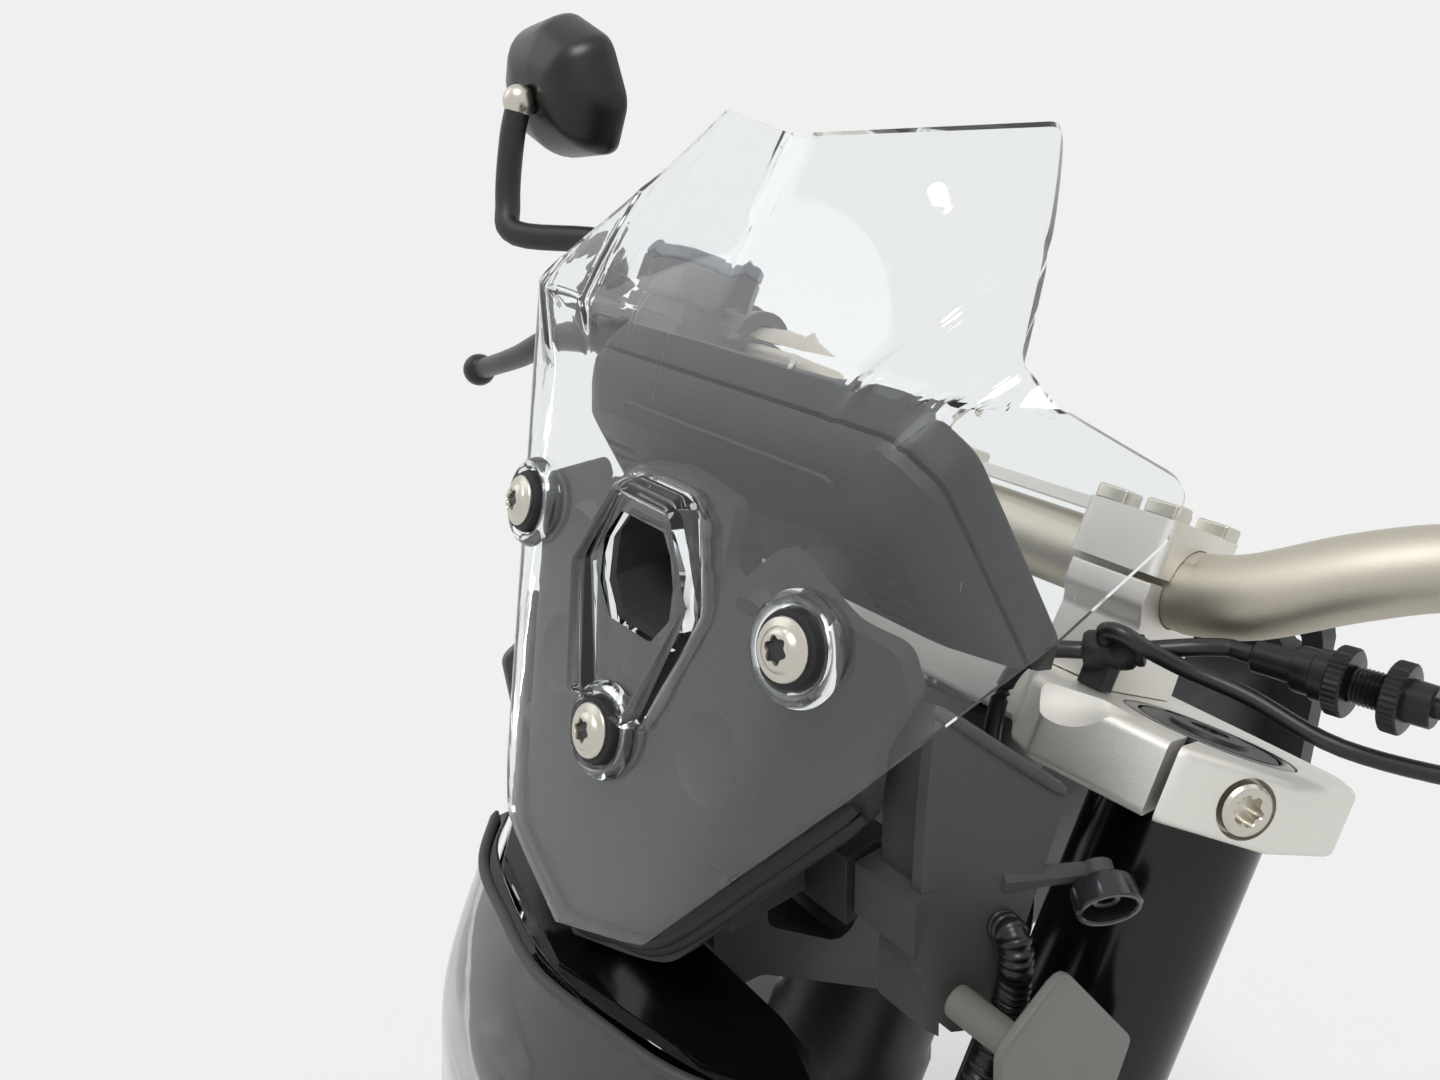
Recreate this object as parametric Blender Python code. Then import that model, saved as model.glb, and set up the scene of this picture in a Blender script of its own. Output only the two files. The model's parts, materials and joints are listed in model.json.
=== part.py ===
"""Front end of an adventure motorcycle: fork, yokes, bar and controls on a steering head,
with the clear screen, its carrier, the display and the headlamp on the frame's stay.

Metres, +Z up, +X to the rider's left, the machine faces -Y. The origin is the middle of the
mounting face behind the steering head. The empty "datum" stands on the steering axis at the
level that the screen's sizes are measured from. "head" and "steering" stand there too, turned
by the rake, so that their Z runs up the steering axis: one is fixed, one turns.
"""
import math

import bmesh
import bpy
from mathutils import Matrix, Vector

# Steering geometry
RAKE = math.radians(27)
DATUM_AHEAD = 0.170
DATUM_UP = 0.105
LEG_HALF_SPACING = 0.105
LEG_OFFSET = 0.030
GAP = 0.0003

# Yokes
YOKE_TOP = -0.010
YOKE_THICKNESS = 0.023
LOWER_YOKE_TOP = -0.206
LOWER_YOKE_THICKNESS = 0.036
CLAMP_WALL = 0.0125
SLOT_WIDTH = 0.003
SLOT_TURN = math.radians(16)
SCOOP_INSET = 0.022
SCOOP_Y = -0.094
SCOOP_RAISE = 0.003
SCOOP_LEAN = 0.35
SCOOP_TILT = 0.25
EDGE_CHAMFER = 0.0030

# Fork
OUTER_RADIUS = 0.027
OUTER_BOTTOM = -0.500
STANCHION_RADIUS = 0.0215
STANCHION_BOTTOM = -0.700
AXLE_DROP = -0.745
AXLE_RADIUS = 0.010
FOOT_WIDTH = 0.052

# Steering head and stem
HEAD_RADIUS = 0.033
HEAD_BORE = 0.0250
HEAD_END_GAP = 0.0045
STEM_RADIUS = 0.0150
STEM_NUT_RADIUS = 0.0170
STEM_NUT_HEIGHT = 0.008
STUB_HALF_WIDTH = 0.026
STUB_TOP = -0.078
STUB_FOOT = -0.150
STUB_GROWTH = 0.009
FLANGE_WIDTH = 0.110
FLANGE_HEIGHT = 0.130
FLANGE_THICKNESS = 0.012
FLANGE_HOLE_RADIUS = 0.0055
FLANGE_HOLE_INSET = 0.015
FLANGE_HOLE_X = FLANGE_WIDTH / 2 - FLANGE_HOLE_INSET
FLANGE_HOLE_Z = FLANGE_HEIGHT / 2 - FLANGE_HOLE_INSET

# Handlebar and its clamp
BAR_RADIUS = 0.0143
GRIP_BAR_RADIUS = 0.0111
BAR_AHEAD = 0.015
BAR_HEIGHT = 0.030
RISER_X = 0.057
RISER_HALF_WIDTH = 0.0155
RISER_HALF_DEPTH = 0.023
CLAMP_TOP = 0.051
SPLIT_GAP = 0.0012

# Screen, carrier and display
SCREEN_THICKNESS = 0.0035
SCREEN_BASE_Y = -0.172
SCREEN_BASE_Z = 0.071
LOWER_SLOPE = 0.378
UPPER_SLOPE = 0.70
KEEL_FOOT = 0.1365
KEEL_TURN = 0.0076
FOLD_SLOPE = 0.80
FOLD_SOFTNESS = 0.007
RIM_RISE = 0.0040
RIM_WIDTH = 0.0045
RECESS_DEPTH = 0.0035
SCREEN_BOTTOM = -0.0396
SCREEN_TOP = 0.1876
CARRIER_SETBACK = 0.0085
CARRIER_THICKNESS = 0.005
DUCT_WALL = 0.003
SCREEN_CLEAR_AHEAD = 0.006
SCREEN_CLEAR_BEHIND = 0.0013
SCREEN_SCREW_X = 0.068
SCREEN_SCREW_Z = 0.071
LOW_SCREW_Z = 0.021
GROMMET_RADIUS = 0.0105
DISPLAY_TILT = math.radians(27)
DISPLAY_TOP_Y = -0.126
DISPLAY_TOP_Z = 0.126
BEZEL_DEPTH = 0.013
SHELL_DEPTH = 0.030
GLASS_DEPTH = 0.002
UNDERSIDE_LEVEL = YOKE_TOP + 0.0055

SIDES = (("left", 1), ("right", -1))


def clear_scene():
    for item in list(bpy.data.objects):
        bpy.data.objects.remove(item, do_unlink=True)


def material(name, colour, roughness, metallic=0.0, alpha=1.0):
    made = bpy.data.materials.new(name)
    made.use_nodes = True
    shader = made.node_tree.nodes["Principled BSDF"]
    shader.inputs["Base Color"].default_value = (*colour, 1.0)
    shader.inputs["Roughness"].default_value = roughness
    shader.inputs["Metallic"].default_value = metallic
    shader.inputs["Alpha"].default_value = alpha
    return made


def empty(name, parent=None, location=(0, 0, 0), turn=0.0):
    made = bpy.data.objects.new(name, None)
    bpy.context.scene.collection.objects.link(made)
    made.parent = parent
    made.location = location
    made.rotation_euler = (turn, 0, 0)
    return made


def put(name, shape, finish, parent, location=(0, 0, 0), smooth=True, turn=(0, 0, 0)):
    """Turns a bmesh into a named object under its parent."""
    bmesh.ops.remove_doubles(shape, verts=shape.verts, dist=0.00001)
    bmesh.ops.recalc_face_normals(shape, faces=shape.faces)
    mesh = bpy.data.meshes.new(name)
    shape.to_mesh(mesh)
    shape.free()
    if smooth:
        mesh.shade_smooth()
        mesh.set_sharp_from_angle(angle=math.radians(35))
    made = bpy.data.objects.new(name, mesh)
    bpy.context.scene.collection.objects.link(made)
    made.parent = parent
    made.location = location
    made.rotation_euler = turn
    made.data.materials.append(material(name, *finish))
    return made


def guide(made):
    """A cutter or a part that a union takes in: it isn't a piece of its own."""
    made.hide_render = True
    made.display_type = "WIRE"
    return made


def combine(target, other, operation):
    step = target.modifiers.new(operation.title(), "BOOLEAN")
    step.operation = operation
    step.solver = "EXACT"
    step.object = guide(other)


def turned(profile, steps=24):
    """A solid or ring turned round Z from (radius, height) points."""
    shape = bmesh.new()
    points = [shape.verts.new((radius, 0, height)) for radius, height in profile]
    edges = [shape.edges.new(pair) for pair in zip(points, points[1:])]
    if profile[0][0] > 0 and profile[-1][0] > 0:
        edges.append(shape.edges.new((points[-1], points[0])))
    bmesh.ops.spin(shape, geom=points + edges, cent=(0, 0, 0), axis=(0, 0, 1),
                   angle=math.tau, steps=steps, use_merge=True, use_duplicate=False)
    return shape


def prism(outline, bottom, top):
    """An outline in X and Y drawn up from bottom to top."""
    shape = bmesh.new()
    face = shape.faces.new([shape.verts.new((x, y, bottom)) for x, y in outline])
    grown = bmesh.ops.extrude_face_region(shape, geom=[face])["geom"]
    rise = Vector((0, 0, top - bottom))
    bmesh.ops.translate(shape, vec=rise, verts=[v for v in grown if isinstance(v, bmesh.types.BMVert)])
    return shape


def chamfered(outline, bottom, top, chamfer):
    """A prism whose top and bottom edges are broken."""
    shape = prism(outline, bottom, top)
    rims = [e for e in shape.edges if abs(e.verts[0].co.z - e.verts[1].co.z) < 1e-7]
    bmesh.ops.bevel(shape, geom=rims, offset=chamfer, segments=1, profile=0.5,
                    affect="EDGES", clamp_overlap=True)
    return shape


def loft(sections):
    """Rings of points, each as long as the next, joined and closed at both ends."""
    shape = bmesh.new()
    rings = [[shape.verts.new(point) for point in section] for section in sections]
    for low, high in zip(rings, rings[1:]):
        count = len(low)
        for index in range(count):
            after = (index + 1) % count
            shape.faces.new((low[index], low[after], high[after], high[index]))
    shape.faces.new(rings[0])
    shape.faces.new(list(reversed(rings[-1])))
    return shape


def box(low, high):
    """A block between two corners."""
    outline = [(low[0], low[1]), (high[0], low[1]), (high[0], high[1]), (low[0], high[1])]
    return prism(outline, low[2], high[2])


def moved(shape, matrix):
    bmesh.ops.transform(shape, matrix=matrix, verts=shape.verts)
    return shape


def along(direction):
    """The turn that takes +Z to a direction."""
    return Vector((0, 0, 1)).rotation_difference(Vector(direction)).to_matrix().to_4x4()


def arc(centre, radius, start, end, count):
    """Points on an arc, angles in degrees from +X."""
    angles = [math.radians(start + (end - start) * index / count) for index in range(count + 1)]
    return [(centre[0] + radius * math.cos(a), centre[1] + radius * math.sin(a)) for a in angles]


def rounded(corners, steps=3):
    """An outline from (x, y, corner radius) rows, its corners as arcs."""
    points = []
    count = len(corners)
    for index, (x, y, radius) in enumerate(corners):
        here = Vector((x, y))
        back = Vector(corners[index - 1][:2]) - here
        ahead = Vector(corners[(index + 1) % count][:2]) - here
        if radius <= 0:
            points.append((x, y))
            continue
        half = back.angle(ahead) / 2
        reach = min(radius / math.tan(half), back.length * 0.48, ahead.length * 0.48)
        true_radius = reach * math.tan(half)
        middle = here + (back.normalized() + ahead.normalized()).normalized() * (true_radius / math.sin(half))
        first = here + back.normalized() * reach - middle
        last = here + ahead.normalized() * reach - middle
        sweep = first.angle_signed(last)
        for step in range(steps + 1):
            turn = Matrix.Rotation(-sweep * step / steps, 2)
            point = middle + turn @ first
            points.append((point.x, point.y))
    return points


def mirrored(outline):
    """A right-hand half outline, from its first centre point to its last, made whole."""
    other = [(-x, *rest) for x, *rest in reversed(outline) if abs(x) > 1e-7]
    return list(outline) + other


def tube(name, points, radius, finish, parent, resolution=2, per_span=6):
    """A curve object through points, smoothed, with filled ends."""
    path = smooth_path(points, per_span)
    curve = bpy.data.curves.new(name, "CURVE")
    curve.dimensions = "3D"
    curve.bevel_depth = radius
    curve.bevel_resolution = resolution
    curve.use_fill_caps = True
    spline = curve.splines.new("POLY")
    spline.points.add(len(path) - 1)
    for spot, point in zip(spline.points, path):
        spot.co = (*point, 1.0)
    made = bpy.data.objects.new(name, curve)
    bpy.context.scene.collection.objects.link(made)
    made.parent = parent
    made.data.materials.append(material(name, *finish))
    return made


def smooth_path(points, per_span):
    """Catmull-Rom points through a short route."""
    route = [Vector(point) for point in points]
    route = [2 * route[0] - route[1]] + route + [2 * route[-1] - route[-2]]
    path = []
    for a, b, c, d in zip(route, route[1:], route[2:], route[3:]):
        for step in range(per_span):
            t = step / per_span
            path.append(0.5 * (2 * b + (c - a) * t + (2 * a - 5 * b + 4 * c - d) * t * t
                               + (3 * b - a - 3 * c + d) * t ** 3))
    path.append(route[-2])
    return path


def swept(path, radii, steps=20):
    """A round bar along a path, with a radius for each point."""
    sections = []
    for index, (point, radius) in enumerate(zip(path, radii)):
        before = path[max(index - 1, 0)]
        after = path[min(index + 1, len(path) - 1)]
        turn = along(after - before)
        ring = [turn @ Vector((radius * math.cos(math.tau * k / steps),
                               radius * math.sin(math.tau * k / steps), 0)) for k in range(steps)]
        sections.append([point + corner for corner in ring])
    return loft(sections)


# Finishes: colour, roughness, metallic and, for what is clear, alpha
CAST_SILVER = ((0.55, 0.54, 0.51), 0.42, 0.9)
CHAMPAGNE = ((0.60, 0.56, 0.48), 0.48, 0.9)
BLACK_GLOSS = ((0.008, 0.008, 0.010), 0.12, 0.0)
BLACK_CAST = ((0.015, 0.015, 0.016), 0.45, 0.3)
DARK_PLASTIC = ((0.035, 0.035, 0.037), 0.62, 0.0)
GREY_PLASTIC = ((0.060, 0.060, 0.058), 0.60, 0.0)
PALE_PLASTIC = ((0.16, 0.16, 0.155), 0.50, 0.0)
RUBBER = ((0.012, 0.012, 0.012), 0.80, 0.0)
CHROME = ((0.75, 0.75, 0.76), 0.10, 1.0)
CLEAR = ((0.90, 0.92, 0.94), 0.03, 0.0, 0.15)
MIRROR = ((0.85, 0.86, 0.88), 0.02, 1.0)
RESERVOIR_GREY = ((0.10, 0.11, 0.125), 0.25, 0.2)


def yoke(name, top, thickness, stem_hole, outline, parent, finish):
    """A fork yoke: its plate, the leg bores, the slot ahead of each and the stem's hole."""
    made = put(name, chamfered(outline, top - thickness, top, EDGE_CHAMFER), finish, parent)
    reach = top + 0.01
    foot = top - thickness - 0.01
    for label, side in SIDES:
        centre = (side * LEG_HALF_SPACING, -LEG_OFFSET, 0)
        bore = turned([(0, foot), (OUTER_RADIUS + GAP, foot), (OUTER_RADIUS + GAP, reach), (0, reach)])
        combine(made, put(f"{name}_bore_{label}", bore, finish, parent, centre), "DIFFERENCE")
        slot = box((-SLOT_WIDTH / 2, -0.075, foot), (SLOT_WIDTH / 2, -OUTER_RADIUS + 0.006, reach))
        cut = put(f"{name}_slot_{label}", slot, finish, parent, centre, turn=(0, 0, -side * SLOT_TURN))
        combine(made, cut, "DIFFERENCE")
    hole = turned([(0, foot), (stem_hole, foot), (stem_hole, reach), (0, reach)], 24)
    combine(made, put(f"{name}_stem_hole", hole, finish, parent), "DIFFERENCE")
    return made


def make_yokes(steering):
    ring = OUTER_RADIUS + CLAMP_WALL
    centre = (LEG_HALF_SPACING, -LEG_OFFSET)
    # Half outline from the front round the outside: x, y, corner radius
    leg = LEG_HALF_SPACING
    front = [(0.000, -0.040, 0), (leg - 0.059, -0.044, 0.012), (leg - 0.039, -0.074, 0.008),
             (leg - 0.025, -0.086, 0.004), (leg + 0.017, -0.082, 0.008), (leg + 0.037, -0.047, 0.010),
             (leg + 0.039, -0.004, 0.014), (leg + 0.028, 0.012, 0.008), (leg - 0.005, 0.022, 0.016),
             (leg - 0.057, 0.036, 0.010), (0.000, 0.036, 0)]
    half = rounded(front)
    top_yoke = yoke("top_yoke", YOKE_TOP, YOKE_THICKNESS, STEM_RADIUS + GAP, mirrored(half), steering, CAST_SILVER)
    for label, side in SIDES:
        scoop = turned([(0, -0.030), (0.014, -0.030), (0.014, 0.030), (0, 0.030)], 20)
        spot = (side * (leg - SCOOP_INSET), SCOOP_Y, YOKE_TOP + SCOOP_RAISE)
        moved(scoop, Matrix.Translation(spot) @ along((side * SCOOP_LEAN, 1, SCOOP_TILT)))
        combine(top_yoke, put(f"top_yoke_scoop_{label}", scoop, CAST_SILVER, steering), "DIFFERENCE")
    lower = ([(0.000, -0.036), (leg - 0.045, -0.046)] + arc(centre, ring, 235, 292, 3)
             + arc(centre, ring, 305, 420, 6) + [(leg - 0.045, 0.026), (0.000, 0.034)])
    yoke("lower_yoke", LOWER_YOKE_TOP, LOWER_YOKE_THICKNESS, STEM_RADIUS + GAP, mirrored(lower),
         steering, BLACK_CAST)


def make_stem(steering):
    yoke_foot = YOKE_TOP - YOKE_THICKNESS
    head_top = yoke_foot - HEAD_END_GAP
    head_foot = LOWER_YOKE_TOP + HEAD_END_GAP
    seat = HEAD_BORE - GAP
    collar = HEAD_RADIUS - 0.003
    low_end = LOWER_YOKE_TOP - LOWER_YOKE_THICKNESS - 0.004
    profile = [(0, low_end), (STEM_RADIUS - 0.002, low_end), (STEM_RADIUS, low_end + 0.002),
               (STEM_RADIUS, LOWER_YOKE_TOP + GAP), (collar, LOWER_YOKE_TOP + GAP), (collar, head_foot - GAP),
               (seat, head_foot - GAP), (seat, head_foot + 0.014), (STEM_RADIUS, head_foot + 0.014),
               (STEM_RADIUS, head_top - 0.014), (seat, head_top - 0.014), (seat, head_top + GAP),
               (collar, head_top + GAP), (collar, yoke_foot - GAP), (STEM_RADIUS, yoke_foot - GAP),
               (STEM_RADIUS, YOKE_TOP), (0, YOKE_TOP)]
    put("steering_stem", turned(profile, 28), CHROME, steering)
    nut_foot = YOKE_TOP + GAP
    nut = turned([(0, nut_foot), (STEM_NUT_RADIUS + 0.003, nut_foot), (STEM_NUT_RADIUS + 0.003, nut_foot + 0.002),
                  (STEM_NUT_RADIUS, nut_foot + 0.002), (STEM_NUT_RADIUS, nut_foot + STEM_NUT_HEIGHT - 0.0015),
                  (STEM_NUT_RADIUS - 0.0015, nut_foot + STEM_NUT_HEIGHT), (0, nut_foot + STEM_NUT_HEIGHT)], 6)
    put("stem_nut", nut, BLACK_CAST, steering, smooth=False)


def make_fork(steering):
    lip = OUTER_RADIUS + 0.002
    hollow = STANCHION_RADIUS + 0.003
    for label, side in SIDES:
        place = (side * LEG_HALF_SPACING, -LEG_OFFSET, 0)
        outer = turned([(0, OUTER_BOTTOM + 0.05), (hollow, OUTER_BOTTOM + 0.05), (hollow, OUTER_BOTTOM + 0.012),
                        (STANCHION_RADIUS + GAP, OUTER_BOTTOM + 0.012), (STANCHION_RADIUS + GAP, OUTER_BOTTOM),
                        (OUTER_RADIUS - 0.002, OUTER_BOTTOM), (lip, OUTER_BOTTOM + 0.006),
                        (lip, OUTER_BOTTOM + 0.028), (OUTER_RADIUS, OUTER_BOTTOM + 0.034),
                        (OUTER_RADIUS, YOKE_TOP - 0.0015), (OUTER_RADIUS - 0.0015, YOKE_TOP),
                        (OUTER_RADIUS - 0.0045, YOKE_TOP), (OUTER_RADIUS - 0.0045, YOKE_TOP - 0.006),
                        (0, YOKE_TOP - 0.006)])
        put(f"fork_outer_{label}", outer, BLACK_GLOSS, steering, place)
        seat = YOKE_TOP - 0.006 + GAP
        cap_rim = OUTER_RADIUS - 0.0045 - GAP
        cap = turned([(0, seat), (cap_rim, seat), (cap_rim, YOKE_TOP - 0.0012), (cap_rim - 0.0012, YOKE_TOP),
                      (0.011, YOKE_TOP), (0.011, YOKE_TOP + 0.0015), (0, YOKE_TOP + 0.0015)], 28)
        put(f"fork_cap_{label}", cap, BLACK_CAST, steering, place)
        stanchion_top = OUTER_BOTTOM + 0.05 - GAP
        put(f"stanchion_{label}", turned([(0, STANCHION_BOTTOM), (STANCHION_RADIUS, STANCHION_BOTTOM),
                                          (STANCHION_RADIUS, stanchion_top), (0, stanchion_top)]),
            CHROME, steering, place)
        make_foot(label, place, steering)
    reach = LEG_HALF_SPACING + FOOT_WIDTH / 2 + 0.002
    axle = turned([(0, -reach), (AXLE_RADIUS - 0.0015, -reach), (AXLE_RADIUS, 0.0015 - reach),
                   (AXLE_RADIUS, reach), (AXLE_RADIUS + 0.006, reach), (AXLE_RADIUS + 0.006, reach + 0.005),
                   (0, reach + 0.005)], 24)
    moved(axle, along((1, 0, 0)))
    put("front_axle", axle, CHROME, steering, (0, -LEG_OFFSET, AXLE_DROP))


def make_foot(label, place, steering):
    """The cast foot under a stanchion, with its socket and the axle's eye."""
    socket = STANCHION_BOTTOM + 0.020
    wall = STANCHION_RADIUS + 0.006
    body = turned([(0, STANCHION_BOTTOM - GAP), (STANCHION_RADIUS + GAP, STANCHION_BOTTOM - GAP),
                   (STANCHION_RADIUS + GAP, socket), (wall - 0.002, socket), (wall, socket - 0.004),
                   (wall, STANCHION_BOTTOM - 0.012), (0.017, AXLE_DROP + 0.006), (0, AXLE_DROP + 0.006)], 24)
    foot = put(f"axle_foot_{label}", body, BLACK_CAST, steering, place)
    eye = turned([(0, -FOOT_WIDTH / 2), (0.024, -FOOT_WIDTH / 2), (0.024, FOOT_WIDTH / 2), (0, FOOT_WIDTH / 2)], 24)
    moved(eye, Matrix.Translation((0, 0, AXLE_DROP)) @ along((1, 0, 0)))
    combine(foot, put(f"axle_eye_{label}", eye, BLACK_CAST, steering, place), "UNION")
    bore = turned([(0, -0.05), (AXLE_RADIUS + GAP, -0.05), (AXLE_RADIUS + GAP, 0.05), (0, 0.05)], 24)
    moved(bore, Matrix.Translation((0, 0, AXLE_DROP)) @ along((1, 0, 0)))
    combine(foot, put(f"axle_bore_{label}", bore, BLACK_CAST, steering, place), "DIFFERENCE")


# The bar's centre line in the steering frame: x, y, z and radius, from the middle outwards.
# From STRAIGHT_START on it is straight, for the perch, the switches and the grip.
STRAIGHT_START = (0.192, 0.0080, 0.0720)
STRAIGHT_SWEEP = (1.0, 0.183, -0.0563)
GRIP_START = 0.268
GRIP_LENGTH = 0.122
BAR_BEYOND_GRIP = 0.015
STRAIGHT_LENGTH = GRIP_START + GRIP_LENGTH + BAR_BEYOND_GRIP - STRAIGHT_START[0]


def straight(share):
    return tuple(a + b * share * STRAIGHT_LENGTH for a, b in zip(STRAIGHT_START, STRAIGHT_SWEEP))


BAR_LINE = [(0.000, -BAR_AHEAD, BAR_HEIGHT, BAR_RADIUS), (0.078, -BAR_AHEAD, BAR_HEIGHT, BAR_RADIUS),
            (0.096, -0.0145, 0.036, BAR_RADIUS), (0.120, -0.008, 0.052, 0.0141), (0.142, -0.001, 0.064, 0.0136),
            (0.168, 0.0040, 0.0710, 0.0124), (*straight(0), GRIP_BAR_RADIUS), (*straight(0.06), GRIP_BAR_RADIUS),
            (*straight(0.5), GRIP_BAR_RADIUS), (*straight(1), GRIP_BAR_RADIUS)]


def bar_at(reach):
    """Centre and direction of the bar at a distance from the middle, on the left."""
    for start, end in zip(BAR_LINE, BAR_LINE[1:]):
        if reach <= end[0]:
            break
    share = (reach - start[0]) / (end[0] - start[0])
    low, high = Vector(start[:3]), Vector(end[:3])
    return low.lerp(high, share), (high - low).normalized()


def on_bar(reach, side):
    """The frame of a piece on the bar: Z runs outwards along it, and Y stays rearward."""
    centre, direction = bar_at(reach)
    rear = Vector((0, 1, 0))
    rear = (rear - rear.dot(direction) * direction).normalized()
    up = rear.cross(direction)
    turn = Matrix((up, rear, direction)).transposed().to_4x4()
    frame = Matrix.Translation(centre) @ turn
    return Matrix.Scale(side, 4, (1, 0, 0)) @ frame


def make_bar(steering):
    spots = [Vector(row[:3]) for row in BAR_LINE]
    radii = [row[3] for row in BAR_LINE]
    left = smooth_path(spots[1:], 3)
    spread = []
    for first, second in zip(radii[1:], radii[2:]):
        spread += [first + (second - first) * step / 3 for step in range(3)]
    spread.append(radii[-1])
    path = [Vector((-p.x, p.y, p.z)) for p in reversed(left)] + left
    put("handlebar", swept(path, list(reversed(spread)) + spread, 16), CHAMPAGNE, steering)


def make_clamp(steering):
    """Two risers on the top yoke and the one-piece upper clamp that bridges them."""
    seat = BAR_RADIUS + GAP
    foot = YOKE_TOP + GAP
    for label, side in SIDES:
        # Side profile of a riser: y, z
        profile = [(-0.0210, foot), (0.0210, foot), (0.0190, 0.014), (RISER_HALF_DEPTH, 0.020),
                   (RISER_HALF_DEPTH, BAR_HEIGHT - SPLIT_GAP), (-RISER_HALF_DEPTH, BAR_HEIGHT - SPLIT_GAP),
                   (-RISER_HALF_DEPTH, 0.020), (-0.0190, 0.014)]
        shape = prism([(y - BAR_AHEAD, z) for y, z in profile], -RISER_HALF_WIDTH, RISER_HALF_WIDTH)
        # The profile's axes are turned so that it stands in the Y and Z plane
        moved(shape, Matrix(((0, 0, 1, side * RISER_X), (1, 0, 0, 0), (0, 1, 0, 0), (0, 0, 0, 1))))
        riser = put(f"bar_riser_{label}", shape, CAST_SILVER, steering)
        combine(riser, put(f"bar_seat_{label}", bar_cutter(seat), CAST_SILVER, steering), "DIFFERENCE")
    half = [(0.000, -0.024, 0), (0.036, -0.024, 0.006), (0.040, -0.040, 0.003), (0.074, -0.040, 0.003),
            (0.074, 0.010, 0.003), (0.040, 0.010, 0.003), (0.036, -0.002, 0.006), (0.000, -0.002, 0)]
    outline = mirrored(rounded(half, 2))
    clamp = put("bar_clamp", chamfered(outline, BAR_HEIGHT + SPLIT_GAP, CLAMP_TOP, 0.002), CAST_SILVER, steering)
    combine(clamp, put("bar_seat_top", bar_cutter(seat), CAST_SILVER, steering), "DIFFERENCE")
    arch = box((-0.036, -0.05, 0), (0.036, 0.02, BAR_HEIGHT + 0.0165))
    combine(clamp, put("bar_clamp_arch", arch, CAST_SILVER, steering), "DIFFERENCE")
    window = box((-0.030, -0.0175, 0), (0.030, -0.0085, CLAMP_TOP + 0.01))
    combine(clamp, put("bar_clamp_window", window, CAST_SILVER, steering), "DIFFERENCE")


def bar_cutter(radius):
    shape = turned([(0, -0.12), (radius, -0.12), (radius, 0.12), (0, 0.12)], 24)
    return moved(shape, Matrix.Translation((0, -BAR_AHEAD, BAR_HEIGHT)) @ along((1, 0, 0)))


def ring_on_bar(profile, reach, side, steps=24):
    """A turned ring on the bar: the profile's heights run outwards from reach."""
    return moved(turned(profile, steps), on_bar(reach, side))


SWITCH_START = 0.234
SWITCH_LENGTH = 0.030
PERCH_START = 0.203
PERCH_LENGTH = 0.026
FIT = GRIP_BAR_RADIUS + 0.0008


def make_controls(steering):
    for label, side in SIDES:
        grip = [(FIT, 0), (0.0195, 0), (0.0195, 0.004), (0.0165, 0.006), (0.0160, GRIP_LENGTH - 0.004),
                (0.0180, GRIP_LENGTH - 0.002), (0.0180, GRIP_LENGTH), (FIT, GRIP_LENGTH)]
        put(f"grip_{label}", ring_on_bar(grip, GRIP_START, side), RUBBER, steering)
        bar_end = bar_at(BAR_LINE[-1][0])[0].x
        weight = [(0, GAP), (0.0150, GAP), (0.0165, 0.003), (0.0165, 0.016), (0.0140, 0.020), (0, 0.020)]
        put(f"bar_end_{label}", ring_on_bar(weight, bar_end, side), BLACK_CAST, steering)
        make_switch(label, side, steering)
        make_perch(label, side, steering)
        make_lever(label, side, steering)
        make_mirror(label, side, steering)


def make_switch(label, side, steering):
    """A switch housing round the bar inboard of the grip, with its toggle block."""
    frame = on_bar(SWITCH_START, side)
    outline = rounded([(0.021, -0.024, 0.006), (0.021, 0.018, 0.008), (-0.024, 0.018, 0.008), (-0.024, -0.024, 0.006)])
    shape = moved(chamfered(outline, 0.0006, SWITCH_LENGTH, 0.002), frame)
    housing = put(f"switch_housing_{label}", shape, DARK_PLASTIC, steering)
    bore = moved(turned([(0, -0.01), (FIT, -0.01), (FIT, 0.05), (0, 0.05)], 24), frame)
    combine(housing, put(f"switch_bore_{label}", bore, DARK_PLASTIC, steering), "DIFFERENCE")


ARM_TOP = 0.004
ARM_FOOT = 0.0090
ARM_REACH = -0.102
ARM_SIDE = 0.002
MASTER_BLOCK = ((-0.222, -0.070, 0.0620), (-0.174, -0.046, 0.0782))


def make_perch(label, side, steering):
    """The lever's clamp on the bar with its arm out over the pivot and under the mirror's foot."""
    frame = on_bar(PERCH_START, side)
    ring = turned([(FIT, 0), (0.0185, 0), (0.0185, PERCH_LENGTH), (FIT, PERCH_LENGTH)], 24)
    perch = put(f"lever_perch_{label}", moved(ring, frame), BLACK_CAST, steering)
    # The bar's frame has its X pointing down
    arm = box((-ARM_TOP, ARM_REACH, ARM_SIDE), (ARM_FOOT, -0.0165, PERCH_LENGTH - ARM_SIDE))
    combine(perch, put(f"perch_arm_{label}", moved(arm, frame), BLACK_CAST, steering), "UNION")
    if side < 0:
        block = put("master_block", box(*MASTER_BLOCK), BLACK_CAST, steering)
        combine(perch, block, "UNION")


LEVER_PIVOT = (0.2240, -0.0560, 0.0527)
LEVER_TIP = (0.385, -0.048, 0.009)


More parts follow.
